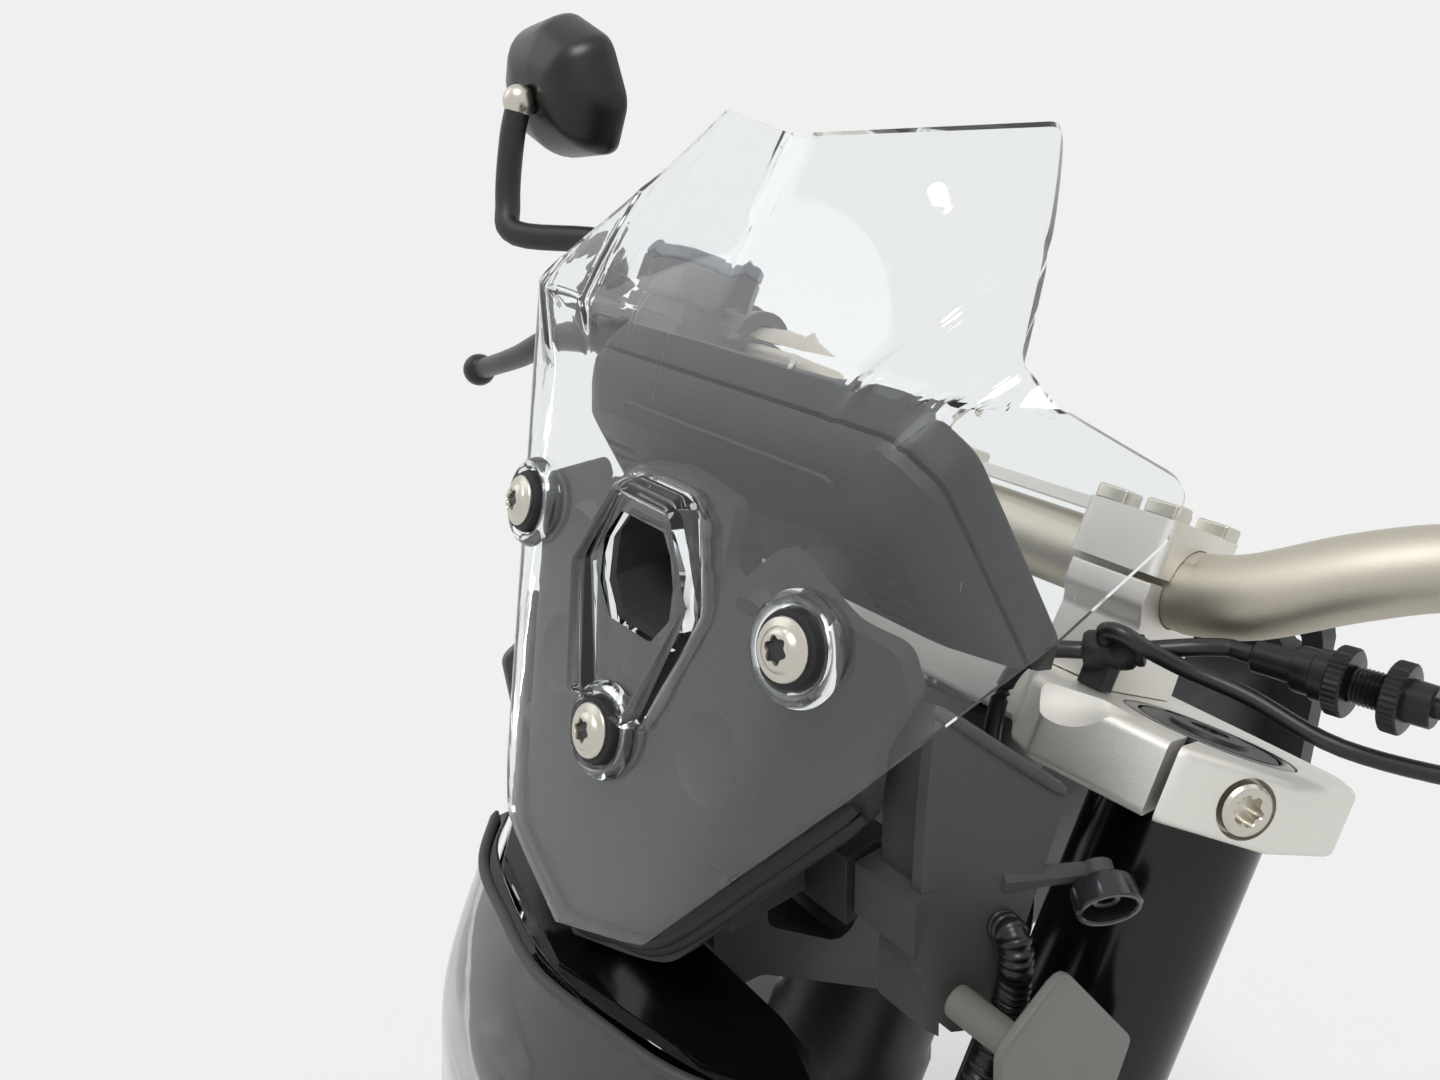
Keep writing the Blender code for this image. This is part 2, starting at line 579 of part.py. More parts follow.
def make_lever(label, side, steering):
    """A lever blade from its pivot eye to the ball at its tip."""
    start, end = Vector(LEVER_PIVOT), Vector(LEVER_TIP)
    bend = start.lerp(end, 0.30) + Vector((0, -0.014, 0.004))
    path = smooth_path([start, bend, start.lerp(end, 0.65) + Vector((0, -0.008, 0)), end], 4)
    radii = [0.0085, 0.0085, 0.0080, 0.0075, 0.0070] + [0.0062] * 7 + [0.0095]
    shape = swept([Vector((side * p.x, p.y, p.z)) for p in path], radii[:len(path)], 10)
    lever = put(f"lever_{label}", shape, BLACK_GLOSS, steering)
    ball = bmesh.new()
    bmesh.ops.create_icosphere(ball, subdivisions=2, radius=0.0098)
    place = (side * end.x, end.y, end.z)
    combine(lever, put(f"lever_ball_{label}", ball, BLACK_GLOSS, steering, place), "UNION")


# Mirror: where its foot stands on the perch's arm, then its ball, and the shell's half outlines
MIRROR_FOOT = (-ARM_TOP - 0.0005, -0.0900, 0.0130)
MIRROR_BALL = (0.300, -0.119, 0.149)
MIRROR_CENTRE = (0.300, -0.097, 0.166)
BALL_RADIUS = 0.0085
MIRROR_HALF_WIDTH = 0.046
MIRROR_HALF_HEIGHT = 0.036
MIRROR_OUTLINE = [(-0.046, -0.007, 0.014), (-0.032, -0.032, 0.012), (0.008, -0.036, 0.018), (0.040, -0.024, 0.016),
                  (0.046, 0.005, 0.012), (0.037, 0.030, 0.012), (0.000, 0.036, 0.018), (-0.034, 0.023, 0.016)]
MIRROR_REAR = 0.010
# How the shell grows from its front to its rim: inset of the outline, depth
MIRROR_DOME = [(0.024, -0.0215), (0.015, -0.018), (0.006, -0.010), (0.001, -0.002), (0.0, 0.004), (0.001, MIRROR_REAR)]
MIRROR_GLASS_DEPTH = 0.0018


def mirror_ring(inset, y):
    outline = rounded(MIRROR_OUTLINE, 2)
    across = 1 - inset / MIRROR_HALF_WIDTH
    up = 1 - inset / MIRROR_HALF_HEIGHT
    return [(x * across, y, z * up) for x, z in outline]


def make_mirror(label, side, steering):
    """Mirror arm from the perch, the shell on its ball and the glass set in its back."""
    frame = on_bar(PERCH_START, side)
    foot = frame @ Vector(MIRROR_FOOT)
    rise = frame @ Vector((MIRROR_FOOT[0] - 0.012, MIRROR_FOOT[1], MIRROR_FOOT[2])) - foot
    ball = Vector((side * MIRROR_BALL[0], MIRROR_BALL[1], MIRROR_BALL[2]))
    route = [foot, foot + rise * 0.5, foot + rise, foot + rise * 1.7 + Vector((side * 0.014, -0.004, 0)),
             Vector((side * 0.288, -0.104, 0.086)), Vector((side * 0.300, -0.108, 0.100)),
             Vector((side * 0.301, -0.116, 0.130)), ball]
    path = smooth_path(route, 3)
    radii = [0.0075] * 3 + [0.0065] * (len(path) - 3)
    arm = put(f"mirror_arm_{label}", swept(path, radii, 10), BLACK_CAST, steering)
    knob = bmesh.new()
    bmesh.ops.create_icosphere(knob, subdivisions=3, radius=BALL_RADIUS)
    combine(arm, put(f"mirror_knob_{label}", knob, BLACK_CAST, steering, ball), "UNION")
    centre = (side * MIRROR_CENTRE[0], MIRROR_CENTRE[1], MIRROR_CENTRE[2])
    turn = (RAKE, 0, 0)
    flip = Matrix.Scale(side, 4, (1, 0, 0))
    rings = [mirror_ring(inset, y) for inset, y in MIRROR_DOME]
    shell = put(f"mirror_shell_{label}", moved(loft(rings), flip), BLACK_GLOSS, steering, centre, turn=turn)
    seat = MIRROR_REAR - MIRROR_GLASS_DEPTH - GAP
    pocket = loft([mirror_ring(0.004, seat), mirror_ring(0.004, MIRROR_REAR + 0.01)])
    combine(shell, put(f"mirror_pocket_{label}", moved(pocket, flip), BLACK_GLOSS, steering, centre, turn=turn),
            "DIFFERENCE")
    socket = bmesh.new()
    bmesh.ops.create_icosphere(socket, subdivisions=3, radius=BALL_RADIUS + 2 * GAP)
    combine(shell, put(f"mirror_socket_{label}", socket, BLACK_GLOSS, steering, ball), "DIFFERENCE")
    glass = loft([mirror_ring(0.004 + GAP, seat + GAP), mirror_ring(0.004 + GAP, MIRROR_REAR - 0.0005)])
    put(f"mirror_glass_{label}", moved(glass, flip), MIRROR, steering, centre, turn=turn)


def make_reservoir(steering):
    """The brake fluid's reservoir on the right perch, with its cover."""
    half = [(0.000, -0.023, 0), (0.018, -0.023, 0.005), (0.031, -0.008, 0.004), (0.031, 0.010, 0.004),
            (0.020, 0.022, 0.005), (0.000, 0.022, 0)]
    outline = mirrored(rounded(half))
    place = (-0.184, -0.060, 0)
    body = chamfered(outline, 0.0785, 0.0945, 0.0015)
    put("brake_reservoir", body, BLACK_CAST, steering, place)
    cover = chamfered(outline, 0.0945 + GAP, 0.1010, 0.0020)
    put("reservoir_cover", cover, RESERVOIR_GREY, steering, place)


# The straight stretch of the clutch cable inside its adjuster, in the steering frame
ADJUSTER_START = Vector((0.1080, -0.0270, 0.0185))
ADJUSTER_END = Vector((0.1600, -0.0256, 0.0233))
GUIDE_START = Vector((0.0775, -0.0445, 0.0060))
GUIDE_END = Vector((0.0660, -0.0495, 0.0010))
GUIDE_RADIUS = 0.0062
CABLE_RADIUS = 0.0030
CABLE_X = LEG_HALF_SPACING - OUTER_RADIUS - CABLE_RADIUS - 0.0008
CABLE_Y = -0.0345
LEAD_RADIUS = 0.0028
CABLE_FOOT = LOWER_YOKE_TOP + GAP


def make_cables(steering):
    """The clutch cable from its perch to the lower yoke, its adjuster and its guide."""
    spare = ADJUSTER_END - ADJUSTER_START
    guide_run = GUIDE_END - GUIDE_START
    route = [(0.2220, -0.0300, 0.0600), (0.2195, -0.0298, 0.0500), (0.2080, -0.0285, 0.0370),
             (0.1880, -0.0266, 0.0280), ADJUSTER_END + spare * 0.20, ADJUSTER_END + spare * 0.04,
             ADJUSTER_START - spare * 0.04, ADJUSTER_START - spare * 0.16, (0.0920, -0.0350, 0.0140),
             GUIDE_START - guide_run * 0.08, GUIDE_END + guide_run * 0.08, (0.0560, -0.0585, -0.0045), (0.0505, -0.0615, -0.0150),
             (0.0500, -0.0610, -0.0300), (0.0530, -0.0560, -0.0470), (0.0650, -0.0440, -0.0680),
             (CABLE_X - 0.0007, CABLE_Y - 0.0020, -0.0920), (CABLE_X, CABLE_Y, -0.1200),
             (CABLE_X, CABLE_Y, -0.1600), (CABLE_X, CABLE_Y, CABLE_FOOT)]
    tube("clutch_cable", route, CABLE_RADIUS, RUBBER, steering, 2, 3)
    # Adjuster: distance along it and radius, ferrule first, then the two knurled wheels
    steps = [(0.000, 0.0048), (0.013, 0.0055), (0.013, 0.0072), (0.019, 0.0075), (0.019, 0.0085), (0.024, 0.0085),
             (0.024, 0.0108), (0.0295, 0.0108), (0.0295, 0.0058), (0.0395, 0.0058), (0.0395, 0.0108),
             (0.045, 0.0108), (0.045, 0.0065), (0.052, 0.0060)]
    bore = CABLE_RADIUS + 0.0006
    profile = [(bore, steps[-1][0])] + [(radius, reach) for reach, radius in reversed(steps)] + [(bore, 0)]
    frame = Matrix.Translation(ADJUSTER_START) @ along(spare)
    put("cable_adjuster", moved(turned(profile, 20), frame), DARK_PLASTIC, steering)
    length = guide_run.length
    frame = Matrix.Translation(GUIDE_START) @ along(guide_run)
    rim = GUIDE_RADIUS - 0.001
    ring = turned([(0, 0), (rim, 0), (GUIDE_RADIUS, 0.001), (GUIDE_RADIUS, length - 0.001), (rim, length),
                   (0, length)], 16)
    sleeve = put("cable_guide", moved(ring, frame), RUBBER, steering)
    foot = box((0.0665, -0.0490, YOKE_TOP + GAP), (0.0755, -0.0420, 0.0010))
    combine(sleeve, put("guide_foot", foot, RUBBER, steering), "UNION")
    through = turned([(0, -0.01), (bore, -0.01), (bore, length + 0.01), (0, length + 0.01)], 16)
    combine(sleeve, put("guide_bore", moved(through, frame), RUBBER, steering), "DIFFERENCE")
    lead = [(0.2420, 0.0020, 0.0474), (0.2405, 0.0005, 0.0380), (0.2280, -0.0050, 0.0270), (0.2040, -0.0120, 0.0180),
            (0.1750, -0.0170, 0.0080), (0.1400, -0.0220, 0.0020), (0.1120, -0.0300, 0.0060),
            (0.0950, -0.0390, 0.0070), (0.0860, -0.0500, 0.0090), (0.0790, -0.0560, 0.0110),
            (0.0737, -0.0562, 0.0100), (0.0726, -0.0528, 0.0072)]
    tube("switch_lead", lead, LEAD_RADIUS, RUBBER, steering, 2, 4)


def make_head(datum, head):
    """The steering head with the backbone's stub and its mounting flange, and the stay ahead of it."""
    top = YOKE_TOP - YOKE_THICKNESS - HEAD_END_GAP
    foot = LOWER_YOKE_TOP + HEAD_END_GAP
    barrel = turned([(0, foot), (HEAD_RADIUS, foot), (HEAD_RADIUS + 0.002, foot + 0.002),
                     (HEAD_RADIUS + 0.002, foot + 0.016), (HEAD_RADIUS, foot + 0.020), (HEAD_RADIUS, top - 0.020),
                     (HEAD_RADIUS + 0.002, top - 0.016), (HEAD_RADIUS + 0.002, top - 0.002), (HEAD_RADIUS, top),
                     (0, top)])
    made = put("steering_head", barrel, BLACK_CAST, head)
    flange_front = DATUM_AHEAD - FLANGE_THICKNESS
    # Stub sections: y, half width, foot, top
    stations = [(-0.045, STUB_HALF_WIDTH, STUB_FOOT, STUB_TOP),
                (0.060, STUB_HALF_WIDTH, STUB_FOOT, STUB_TOP),
                (flange_front + 0.001, STUB_HALF_WIDTH + STUB_GROWTH, STUB_FOOT - STUB_GROWTH, STUB_TOP + STUB_GROWTH)]
    rings = []
    for y, half, low, high in stations:
        corners = rounded([(half, high, 0.008), (-half, high, 0.008), (-half, low, 0.008), (half, low, 0.008)], 2)
        rings.append([(x, y, z) for x, z in corners])
    combine(made, put("backbone_stub", loft(rings), BLACK_CAST, datum), "UNION")
    plate = rounded([(FLANGE_WIDTH / 2, FLANGE_HEIGHT / 2, 0.012), (-FLANGE_WIDTH / 2, FLANGE_HEIGHT / 2, 0.012),
                     (-FLANGE_WIDTH / 2, -FLANGE_HEIGHT / 2, 0.012), (FLANGE_WIDTH / 2, -FLANGE_HEIGHT / 2, 0.012)])
    upright = Matrix.Rotation(math.pi / 2, 4, "X")
    flange = moved(prism(plate, -DATUM_AHEAD, -flange_front), upright)
    combine(made, put("mount_flange", flange, BLACK_CAST, datum, (0, 0, -DATUM_UP)), "UNION")
    for x in (-FLANGE_HOLE_X, FLANGE_HOLE_X):
        for z in (-FLANGE_HOLE_Z, FLANGE_HOLE_Z):
            hole = turned([(0, -0.2), (FLANGE_HOLE_RADIUS, -0.2), (FLANGE_HOLE_RADIUS, 0), (0, 0)], 12)
            place = (x, 0, z - DATUM_UP)
            combine(made, put(f"flange_hole_{x}_{z}", moved(hole, upright), BLACK_CAST, datum, place), "DIFFERENCE")
    bore = turned([(0, foot - 0.01), (HEAD_BORE, foot - 0.01), (HEAD_BORE, top + 0.01), (0, top + 0.01)])
    combine(made, put("head_bore", bore, BLACK_CAST, head), "DIFFERENCE")


CROSSBAR_HALF = 0.0749
CROSSBAR_FRONT = -0.160
CROSSBAR_REAR = -0.142
CROSSBAR_TOP = 0.004
CROSSBAR_FOOT = -0.020
TONGUE_FRONT = -0.1717
STAY_HALF_WIDTH = 0.026


def side_profile(points, left, right):
    """An outline in Y and Z drawn across from left to right."""
    shape = prism(points, left, right)
    return moved(shape, Matrix(((0, 0, 1, 0), (1, 0, 0, 0), (0, 1, 0, 0), (0, 0, 0, 1))))


def make_stay(datum, head):
    """The stay that carries screen, display and lamp: a keel on the head and a crossbar."""
    keel = rounded([(-0.055, -0.062, 0), (CROSSBAR_REAR, CROSSBAR_TOP, 0.006), (CROSSBAR_FRONT, CROSSBAR_TOP, 0.003),
                    (CROSSBAR_FRONT, CROSSBAR_FOOT - 0.008, 0.006), (TONGUE_FRONT, -0.046, 0.003),
                    (TONGUE_FRONT, -0.078, 0.004), (-0.152, -0.080, 0.010), (-0.085, -0.130, 0)])
    made = put("fairing_stay", side_profile(keel, -STAY_HALF_WIDTH, STAY_HALF_WIDTH), BLACK_CAST, datum)
    cross = box((-CROSSBAR_HALF, CROSSBAR_REAR, CROSSBAR_FOOT), (CROSSBAR_HALF, CROSSBAR_FRONT, CROSSBAR_TOP))
    combine(made, put("stay_crossbar", cross, BLACK_CAST, datum), "UNION")
    window = rounded([(-0.100, -0.062, 0.008), (-0.142, -0.020, 0.008), (-0.150, -0.060, 0.008), (-0.112, -0.090, 0.008)])
    combine(made, put("stay_window", side_profile(window, -0.04, 0.04), BLACK_CAST, datum), "DIFFERENCE")
    seat = turned([(0, -0.25), (HEAD_RADIUS + GAP, -0.25), (HEAD_RADIUS + GAP, 0.02), (0, 0.02)])
    combine(made, put("stay_saddle", seat, BLACK_CAST, head), "DIFFERENCE")


# Half outline of the screen from its bottom corner round the side to its top corner:
# distance across, height, corner radius
SCREEN_EDGE = [(0.041, -0.024, 0.008), (0.086, 0.034, 0.060), (0.121, 0.0823, 0.014), (0.136, 0.108, 0.010),
               (0.138, 0.121, 0.007), (0.101, 0.145, 0.010), (0.069, 0.191, 0.005)]
# The fold between a half's main facet and its side wing: across, height
FOLD_LINE = ((0.101, 0.145), (0.060, 0.020))
# Half outlines of the channel down the middle and of the opening in it: across, height
CHANNEL = [(0.000, 0.0920), (0.0130, 0.0900), (0.0260, 0.0700), (0.0260, 0.0600), (0.0120, 0.0320), (0.000, 0.0300)]
OPENING = [(0.000, 0.0850), (0.0110, 0.0850), (0.0185, 0.0750), (0.0185, 0.0610), (0.0110, 0.0520), (0.000, 0.0520)]


def fold_distance(x, z):
    (ax, az), (bx, bz) = FOLD_LINE
    run = Vector((bx - ax, bz - az)).normalized()
    return (abs(x) - ax) * -run.y + (z - az) * run.x


def inside(x, z, outline):
    """How far a point lies inside a convex half outline, measured to its nearest side."""
    point = Vector((abs(x), z))
    return min((point - Vector(a)).dot(Vector((a[1] - b[1], b[0] - a[0])).normalized()) * -1
               for a, b in zip(outline, outline[1:]))


def step_up(value):
    value = min(max(value, 0.0), 1.0)
    return value * value * (3 - 2 * value)


def sheet_y(x, z):
    """The screen's sheet without its channel: how far back it lies at a place across and up."""
    y = SCREEN_BASE_Y + LOWER_SLOPE * (min(z, KEEL_FOOT) - SCREEN_BASE_Z)
    above = max(z - KEEL_FOOT, 0.0)
    out = fold_distance(x, z)
    fold = 0.5 * (out + math.hypot(out, FOLD_SOFTNESS)) - 0.0008
    return y + above * (UPPER_SLOPE + KEEL_TURN * 1000 * abs(x)) + FOLD_SLOPE * max(fold, 0.0)


def screen_y(x, z):
    depth = inside(x, z, CHANNEL)
    rim = RIM_RISE * math.exp(-(depth / RIM_WIDTH) ** 2)
    floor = RECESS_DEPTH * step_up((depth - 0.001) / 0.005)
    return sheet_y(x, z) - rim + floor


def back_of(surface, x, z, setback):
    """A point behind the sheet, along its normal, or straight ahead of it for a setback below 0."""
    if setback < 0:
        return Vector((x, surface(x, z) + setback, z))
    reach = 0.0005
    across = (surface(x + reach, z) - surface(x - reach, z)) / (2 * reach)
    up = (surface(x, z + reach) - surface(x, z - reach)) / (2 * reach)
    normal = Vector((-across, 1, -up)).normalized()
    return Vector((x, surface(x, z), z)) + normal * setback


def sheet_between(rows, surface, front, back):
    """A curved panel from rows of (x, z) places, between two setbacks from a surface."""
    shape = bmesh.new()
    faces = []
    for setback in (front, back):
        faces.append([[shape.verts.new(back_of(surface, x, z, setback)) for x, z in row] for row in rows])
    near, far = faces
    for grid, order in ((near, 1), (far, -1)):
        for low, high in zip(grid, grid[1:]):
            for a, b, c, d in zip(low, low[1:], high[1:], high):
                # One fixed diagonal a side, so that two sheets from the same rows run parallel
                halves = ((a, b, c), (a, c, d)) if a.co.x >= -1e-7 else ((a, b, d), (b, c, d))
                for corners in halves:
                    shape.faces.new(corners[::order])
    rim_near = near[0] + [row[-1] for row in near[1:]] + near[-1][-2::-1] + [row[0] for row in near[-2:0:-1]]
    rim_far = far[0] + [row[-1] for row in far[1:]] + far[-1][-2::-1] + [row[0] for row in far[-2:0:-1]]
    count = len(rim_near)
    for index in range(count):
        after = (index + 1) % count
        shape.faces.new((rim_near[index], rim_near[after], rim_far[after], rim_far[index]))
    return shape


INNER_COLUMNS = (0.0, 0.0065, 0.0125, 0.0180, 0.0235, 0.0295)
OUTER_SHARES = (0.28, 0.56, 0.80, 1.0)
ROW_STEP = 0.017


def screen_rows():
    """Rows of places from edge to edge, each ending on the rounded outline."""
    corners = [(0.0, SCREEN_BOTTOM, 0)] + SCREEN_EDGE + [(0.0, SCREEN_TOP, 0)]
    edge = rounded(corners, 2)[1:-1]
    spots = []
    for (ax, az), (bx, bz) in zip(edge, edge[1:]):
        pieces = max(1, round(math.hypot(bx - ax, bz - az) / ROW_STEP))
        spots += [(ax + (bx - ax) * k / pieces, az + (bz - az) * k / pieces) for k in range(pieces)]
    spots.append(edge[-1])
    total = sum(math.dist(a, b) for a, b in zip(spots, spots[1:]))
    run = 0.0
    rows = []
    for index, (x, z) in enumerate(spots):
        run += math.dist(spots[index - 1], (x, z)) if index else 0.0
        middle = SCREEN_BOTTOM + (SCREEN_TOP - SCREEN_BOTTOM) * run / total
        reach = x - INNER_COLUMNS[-1]
        across = list(INNER_COLUMNS) + [INNER_COLUMNS[-1] + reach * share for share in OUTER_SHARES]
        half = [(c, middle + (z - middle) * c / x) for c in across]
        rows.append([(-c, h) for c, h in reversed(half[1:])] + half)
    return rows


def forward_prism(half, rear, front):
    """A half outline in X and Z, made whole and drawn along Y."""
    shape = prism(mirrored(half), -front, -rear)
    return moved(shape, Matrix(((1, 0, 0, 0), (0, 0, -1, 0), (0, 1, 0, 0), (0, 0, 0, 1))))


def grown(outline, margin):
    """A convex half outline moved out by a margin."""
    middle = Vector((0, (outline[0][1] + outline[-1][1]) / 2))
    points = []
    for x, z in outline:
        way = Vector((x, z)) - middle
        out = way.normalized() * margin
        points.append((x + out.x if x > 0 else 0.0, z + out.y))
    return points


def make_screen(datum):
    shape = sheet_between(screen_rows(), screen_y, 0.0, SCREEN_THICKNESS)
    made = put("windscreen", shape, CLEAR, datum)
    cut = forward_prism(OPENING, -0.12, -0.24)
    combine(made, put("screen_opening", cut, CLEAR, datum), "DIFFERENCE")


# Half outline of the carrier behind the screen, from its foot round the wing to the duct: across, height
CARRIER_EDGE = [(0.000, -0.0480, 0), (0.0440, -0.0330, 0.010), (0.0840, 0.0220, 0.008), (0.0840, 0.0420, 0.010),
                (0.0900, 0.0600, 0.008), (0.0860, 0.0720, 0.008), (0.0470, 0.0880, 0.006), (0.0270, 0.0660, 0.006),
                (0.0250, 0.0920, 0.004), (0.0000, 0.0960, 0)]
CARRIER_COLUMNS = (0.0, 0.012, 0.024, 0.036, 0.048, 0.060, 0.072, 0.084, 0.098)
CARRIER_ROWS = (-0.060, -0.030, 0.0, 0.025, 0.045, 0.062, 0.080, 0.100)
DUCT_REAR = -0.143
POST_X = 0.050
POST_Z = -0.008
DISPLAY_POST_X = 0.044


def make_carrier(datum):
    """The dark carrier: a panel set back from the screen, its duct, bosses and posts."""
    columns = [-c for c in CARRIER_COLUMNS[:0:-1]] + list(CARRIER_COLUMNS)
    rows = [[(x, z) for x in columns] for z in CARRIER_ROWS]
    shape = sheet_between(rows, sheet_y, CARRIER_SETBACK, CARRIER_SETBACK + CARRIER_THICKNESS)
    made = put("screen_carrier", shape, DARK_PLASTIC, datum)
    outline = forward_prism(rounded(CARRIER_EDGE, 2), -0.10, -0.25)
    combine(made, put("carrier_outline", outline, DARK_PLASTIC, datum), "INTERSECT")
    ring = mirrored(grown(OPENING, DUCT_WALL))
    duct = loft([[(x, sheet_y(x, z) + RECESS_DEPTH, z) for x, z in ring], [(x, DUCT_REAR, z) for x, z in ring]])
    combine(made, put("carrier_duct", duct, DARK_PLASTIC, datum), "UNION")
    combine(made, put("carrier_opening", forward_prism(OPENING, -0.10, -0.25), DARK_PLASTIC, datum), "DIFFERENCE")
    for label, side in SIDES:
        boss_at(made, f"screen_boss_{label}", side * SCREEN_SCREW_X, SCREEN_SCREW_Z, datum)
        post = box((side * POST_X - 0.008, CROSSBAR_FRONT - GAP, POST_Z - 0.010),
                   (side * POST_X + 0.008, sheet_y(POST_X, POST_Z) + CARRIER_SETBACK + 0.002, POST_Z + 0.010))
        combine(made, put(f"carrier_post_{label}", post, DARK_PLASTIC, datum), "UNION")
        face = display_point(side * DISPLAY_POST_X, -0.040, -SHELL_DEPTH) - display_normal() * GAP
        start = sheet_y(DISPLAY_POST_X, face.z) + CARRIER_SETBACK + 0.001
        reach = (face.y - start) / display_normal().y
        rod = turned([(0, -reach), (0.007, -reach), (0.007, 0), (0, 0)], 16)
        frame = Matrix.Translation(face) @ along(display_normal())
        combine(made, put(f"display_post_{label}", moved(rod, frame), DARK_PLASTIC, datum), "UNION")
    boss_at(made, "screen_boss_low", 0.0, LOW_SCREW_Z, datum)
    clear = sheet_between(screen_rows(), screen_y, -SCREEN_CLEAR_AHEAD, SCREEN_THICKNESS + SCREEN_CLEAR_BEHIND)
    combine(made, put("screen_space", clear, DARK_PLASTIC, datum), "DIFFERENCE")


def boss_at(carrier, name, x, z, datum):
    """A round boss from the carrier's front out to the back of the screen."""
    seat = back_of(screen_y, x, z, SCREEN_THICKNESS / 2)
    root = back_of(sheet_y, x, z, CARRIER_SETBACK + 0.002)
    normal = (back_of(sheet_y, x, z, 0.01) - back_of(sheet_y, x, z, 0.0)).normalized()
    length = (root - seat).dot(normal)
    peg = turned([(0, 0), (GROMMET_RADIUS, 0), (GROMMET_RADIUS, length), (0, length)], 20)
    frame = Matrix.Translation(seat) @ along(normal)
    combine(carrier, put(name, moved(peg, frame), DARK_PLASTIC, datum), "UNION")


def display_normal():
    """The way the display faces: back and up, towards the rider."""
    return Vector((0, math.cos(DISPLAY_TILT), math.sin(DISPLAY_TILT)))


def display_point(x, up, out):
    rise = Vector((0, -math.sin(DISPLAY_TILT), math.cos(DISPLAY_TILT)))
    return Vector((x, DISPLAY_TOP_Y, DISPLAY_TOP_Z)) + rise * up + display_normal() * out


# Half outline of the display's housing, from its top middle down: across, height below the top edge, radius
DISPLAY_EDGE = [(0.000, 0.000, 0), (0.068, 0.000, 0.010), (0.081, -0.012, 0.012), (0.085, -0.050, 0.040),
                (0.088, -0.082, 0.014), (0.070, -0.125, 0.010), (0.000, -0.125, 0)]


def display_ring(inset, out):
    outline = mirrored(rounded(DISPLAY_EDGE, 3))
    middle = -0.055
    ring = []
    for x, up in outline:
        share = 1 - inset / 0.088
        ring.append(display_point(x * share, middle + (up - middle) * (1 - inset / 0.055), out))
    return ring


def make_display(datum, head):
    """The display: rear bezel with its glass, and the shell ahead of it, both cut level below."""
    bezel = loft([display_ring(0.0015, 0.0), display_ring(0.0, -0.002), display_ring(0.0, -BEZEL_DEPTH + 0.002),
                  display_ring(0.0008, -BEZEL_DEPTH)])
    made = put("display_bezel", bezel, DARK_PLASTIC, datum)
    pocket = loft([display_ring(0.008, 0.01), display_ring(0.008, -GLASS_DEPTH - GAP)])
    level = box((-0.2, -0.3, -0.3), (0.2, 0.1, UNDERSIDE_LEVEL))
    rim = box((-0.2, -0.3, -0.3), (0.2, 0.1, UNDERSIDE_LEVEL + 0.006))
    underside = put("display_underside", level, DARK_PLASTIC, head)
    glass_foot = put("glass_underside", rim, DARK_PLASTIC, head)
    pocket_cut = put("glass_pocket", pocket, DARK_PLASTIC, datum)
    combine(pocket_cut, glass_foot, "DIFFERENCE")
    combine(made, underside, "DIFFERENCE")
    combine(made, pocket_cut, "DIFFERENCE")
    shell = loft([display_ring(0.0016, -BEZEL_DEPTH - GAP), display_ring(0.0025, -BEZEL_DEPTH - 0.006),
                  display_ring(0.012, -SHELL_DEPTH)])
    shell_made = put("display_shell", shell, DARK_PLASTIC, datum)
    combine(shell_made, underside, "DIFFERENCE")
    glass = loft([display_ring(0.008 + GAP, -GAP), display_ring(0.008 + GAP, -GLASS_DEPTH)])
    glass_made = put("display_glass", glass, BLACK_GLOSS, datum)
    lifted = box((-0.2, -0.3, -0.3), (0.2, 0.1, UNDERSIDE_LEVEL + 0.006 + GAP))
    combine(glass_made, put("glass_edge", lifted, DARK_PLASTIC, head), "DIFFERENCE")


# Side sections of the headlamp: distance across, then y and z of the front's top, middle and foot
# and of the back's foot, middle and top
LAMP_SECTIONS = [
    (0.000, (-0.214, -0.056), (-0.236, -0.105), (-0.240, -0.150), (-0.226, -0.152), (-0.187, -0.106), (-0.172, -0.058)),
    (0.060, (-0.202, -0.057), (-0.224, -0.103), (-0.231, -0.146), (-0.223, -0.148), (-0.187, -0.106), (-0.172, -0.059)),
    (0.090, (-0.182, -0.062), (-0.199, -0.096), (-0.210, -0.128), (-0.205, -0.131), (-0.187, -0.106), (-0.172, -0.068)),
]
LENS_AHEAD = 0.008
LENS_SEAT = 0.0018
BUCKET_DEPTH = 0.016


def lamp_stations():
    right = [(-row[0], *row[1:]) for row in LAMP_SECTIONS[:0:-1]]
    return right + LAMP_SECTIONS


def lamp_band(ahead, behind, narrow=1.0):
    """A slice of the lamp's front: between two distances ahead of its front face."""
    rings = []
    for x, top, middle, foot, *_ in lamp_stations():
        outer = [(x * narrow, y - ahead, z) for y, z in (top, middle, foot)]
        inner = [(x * narrow, y - behind, z) for y, z in (foot, middle, top)]
        rings.append(outer + inner)
    return loft(rings)


def make_lamp(datum):
    rings = [[(row[0], y, z) for y, z in row[1:]] for row in lamp_stations()]
    made = put("headlamp_housing", loft(rings), BLACK_GLOSS, datum, smooth=False)
    bucket = lamp_band(0.01, -BUCKET_DEPTH, 0.93)
    bucket_cut = put("lamp_bucket", moved(bucket, Matrix.Translation((0, 0, -0.103)) @ Matrix.Scale(0.90, 4, (0, 0, 1))
                                          @ Matrix.Translation((0, 0, 0.103))), GREY_PLASTIC, datum)
    combine(made, bucket_cut, "DIFFERENCE")
    put("headlamp_lens", lamp_band(LENS_AHEAD, LENS_SEAT), CLEAR, datum, smooth=False)


# Outline of the inner panel beside the fork, seen from the side: y, z, corner radius
PANEL_EDGE = [(-0.1440, 0.0540, 0.003), (-0.1130, 0.0220, 0.004), (-0.1370, -0.0400, 0.004), (-0.1500, -0.0440, 0.004),
              (-0.1560, -0.0200, 0.010), (-0.1500, 0.0200, 0.010)]
PANEL_THICKNESS = 0.0035

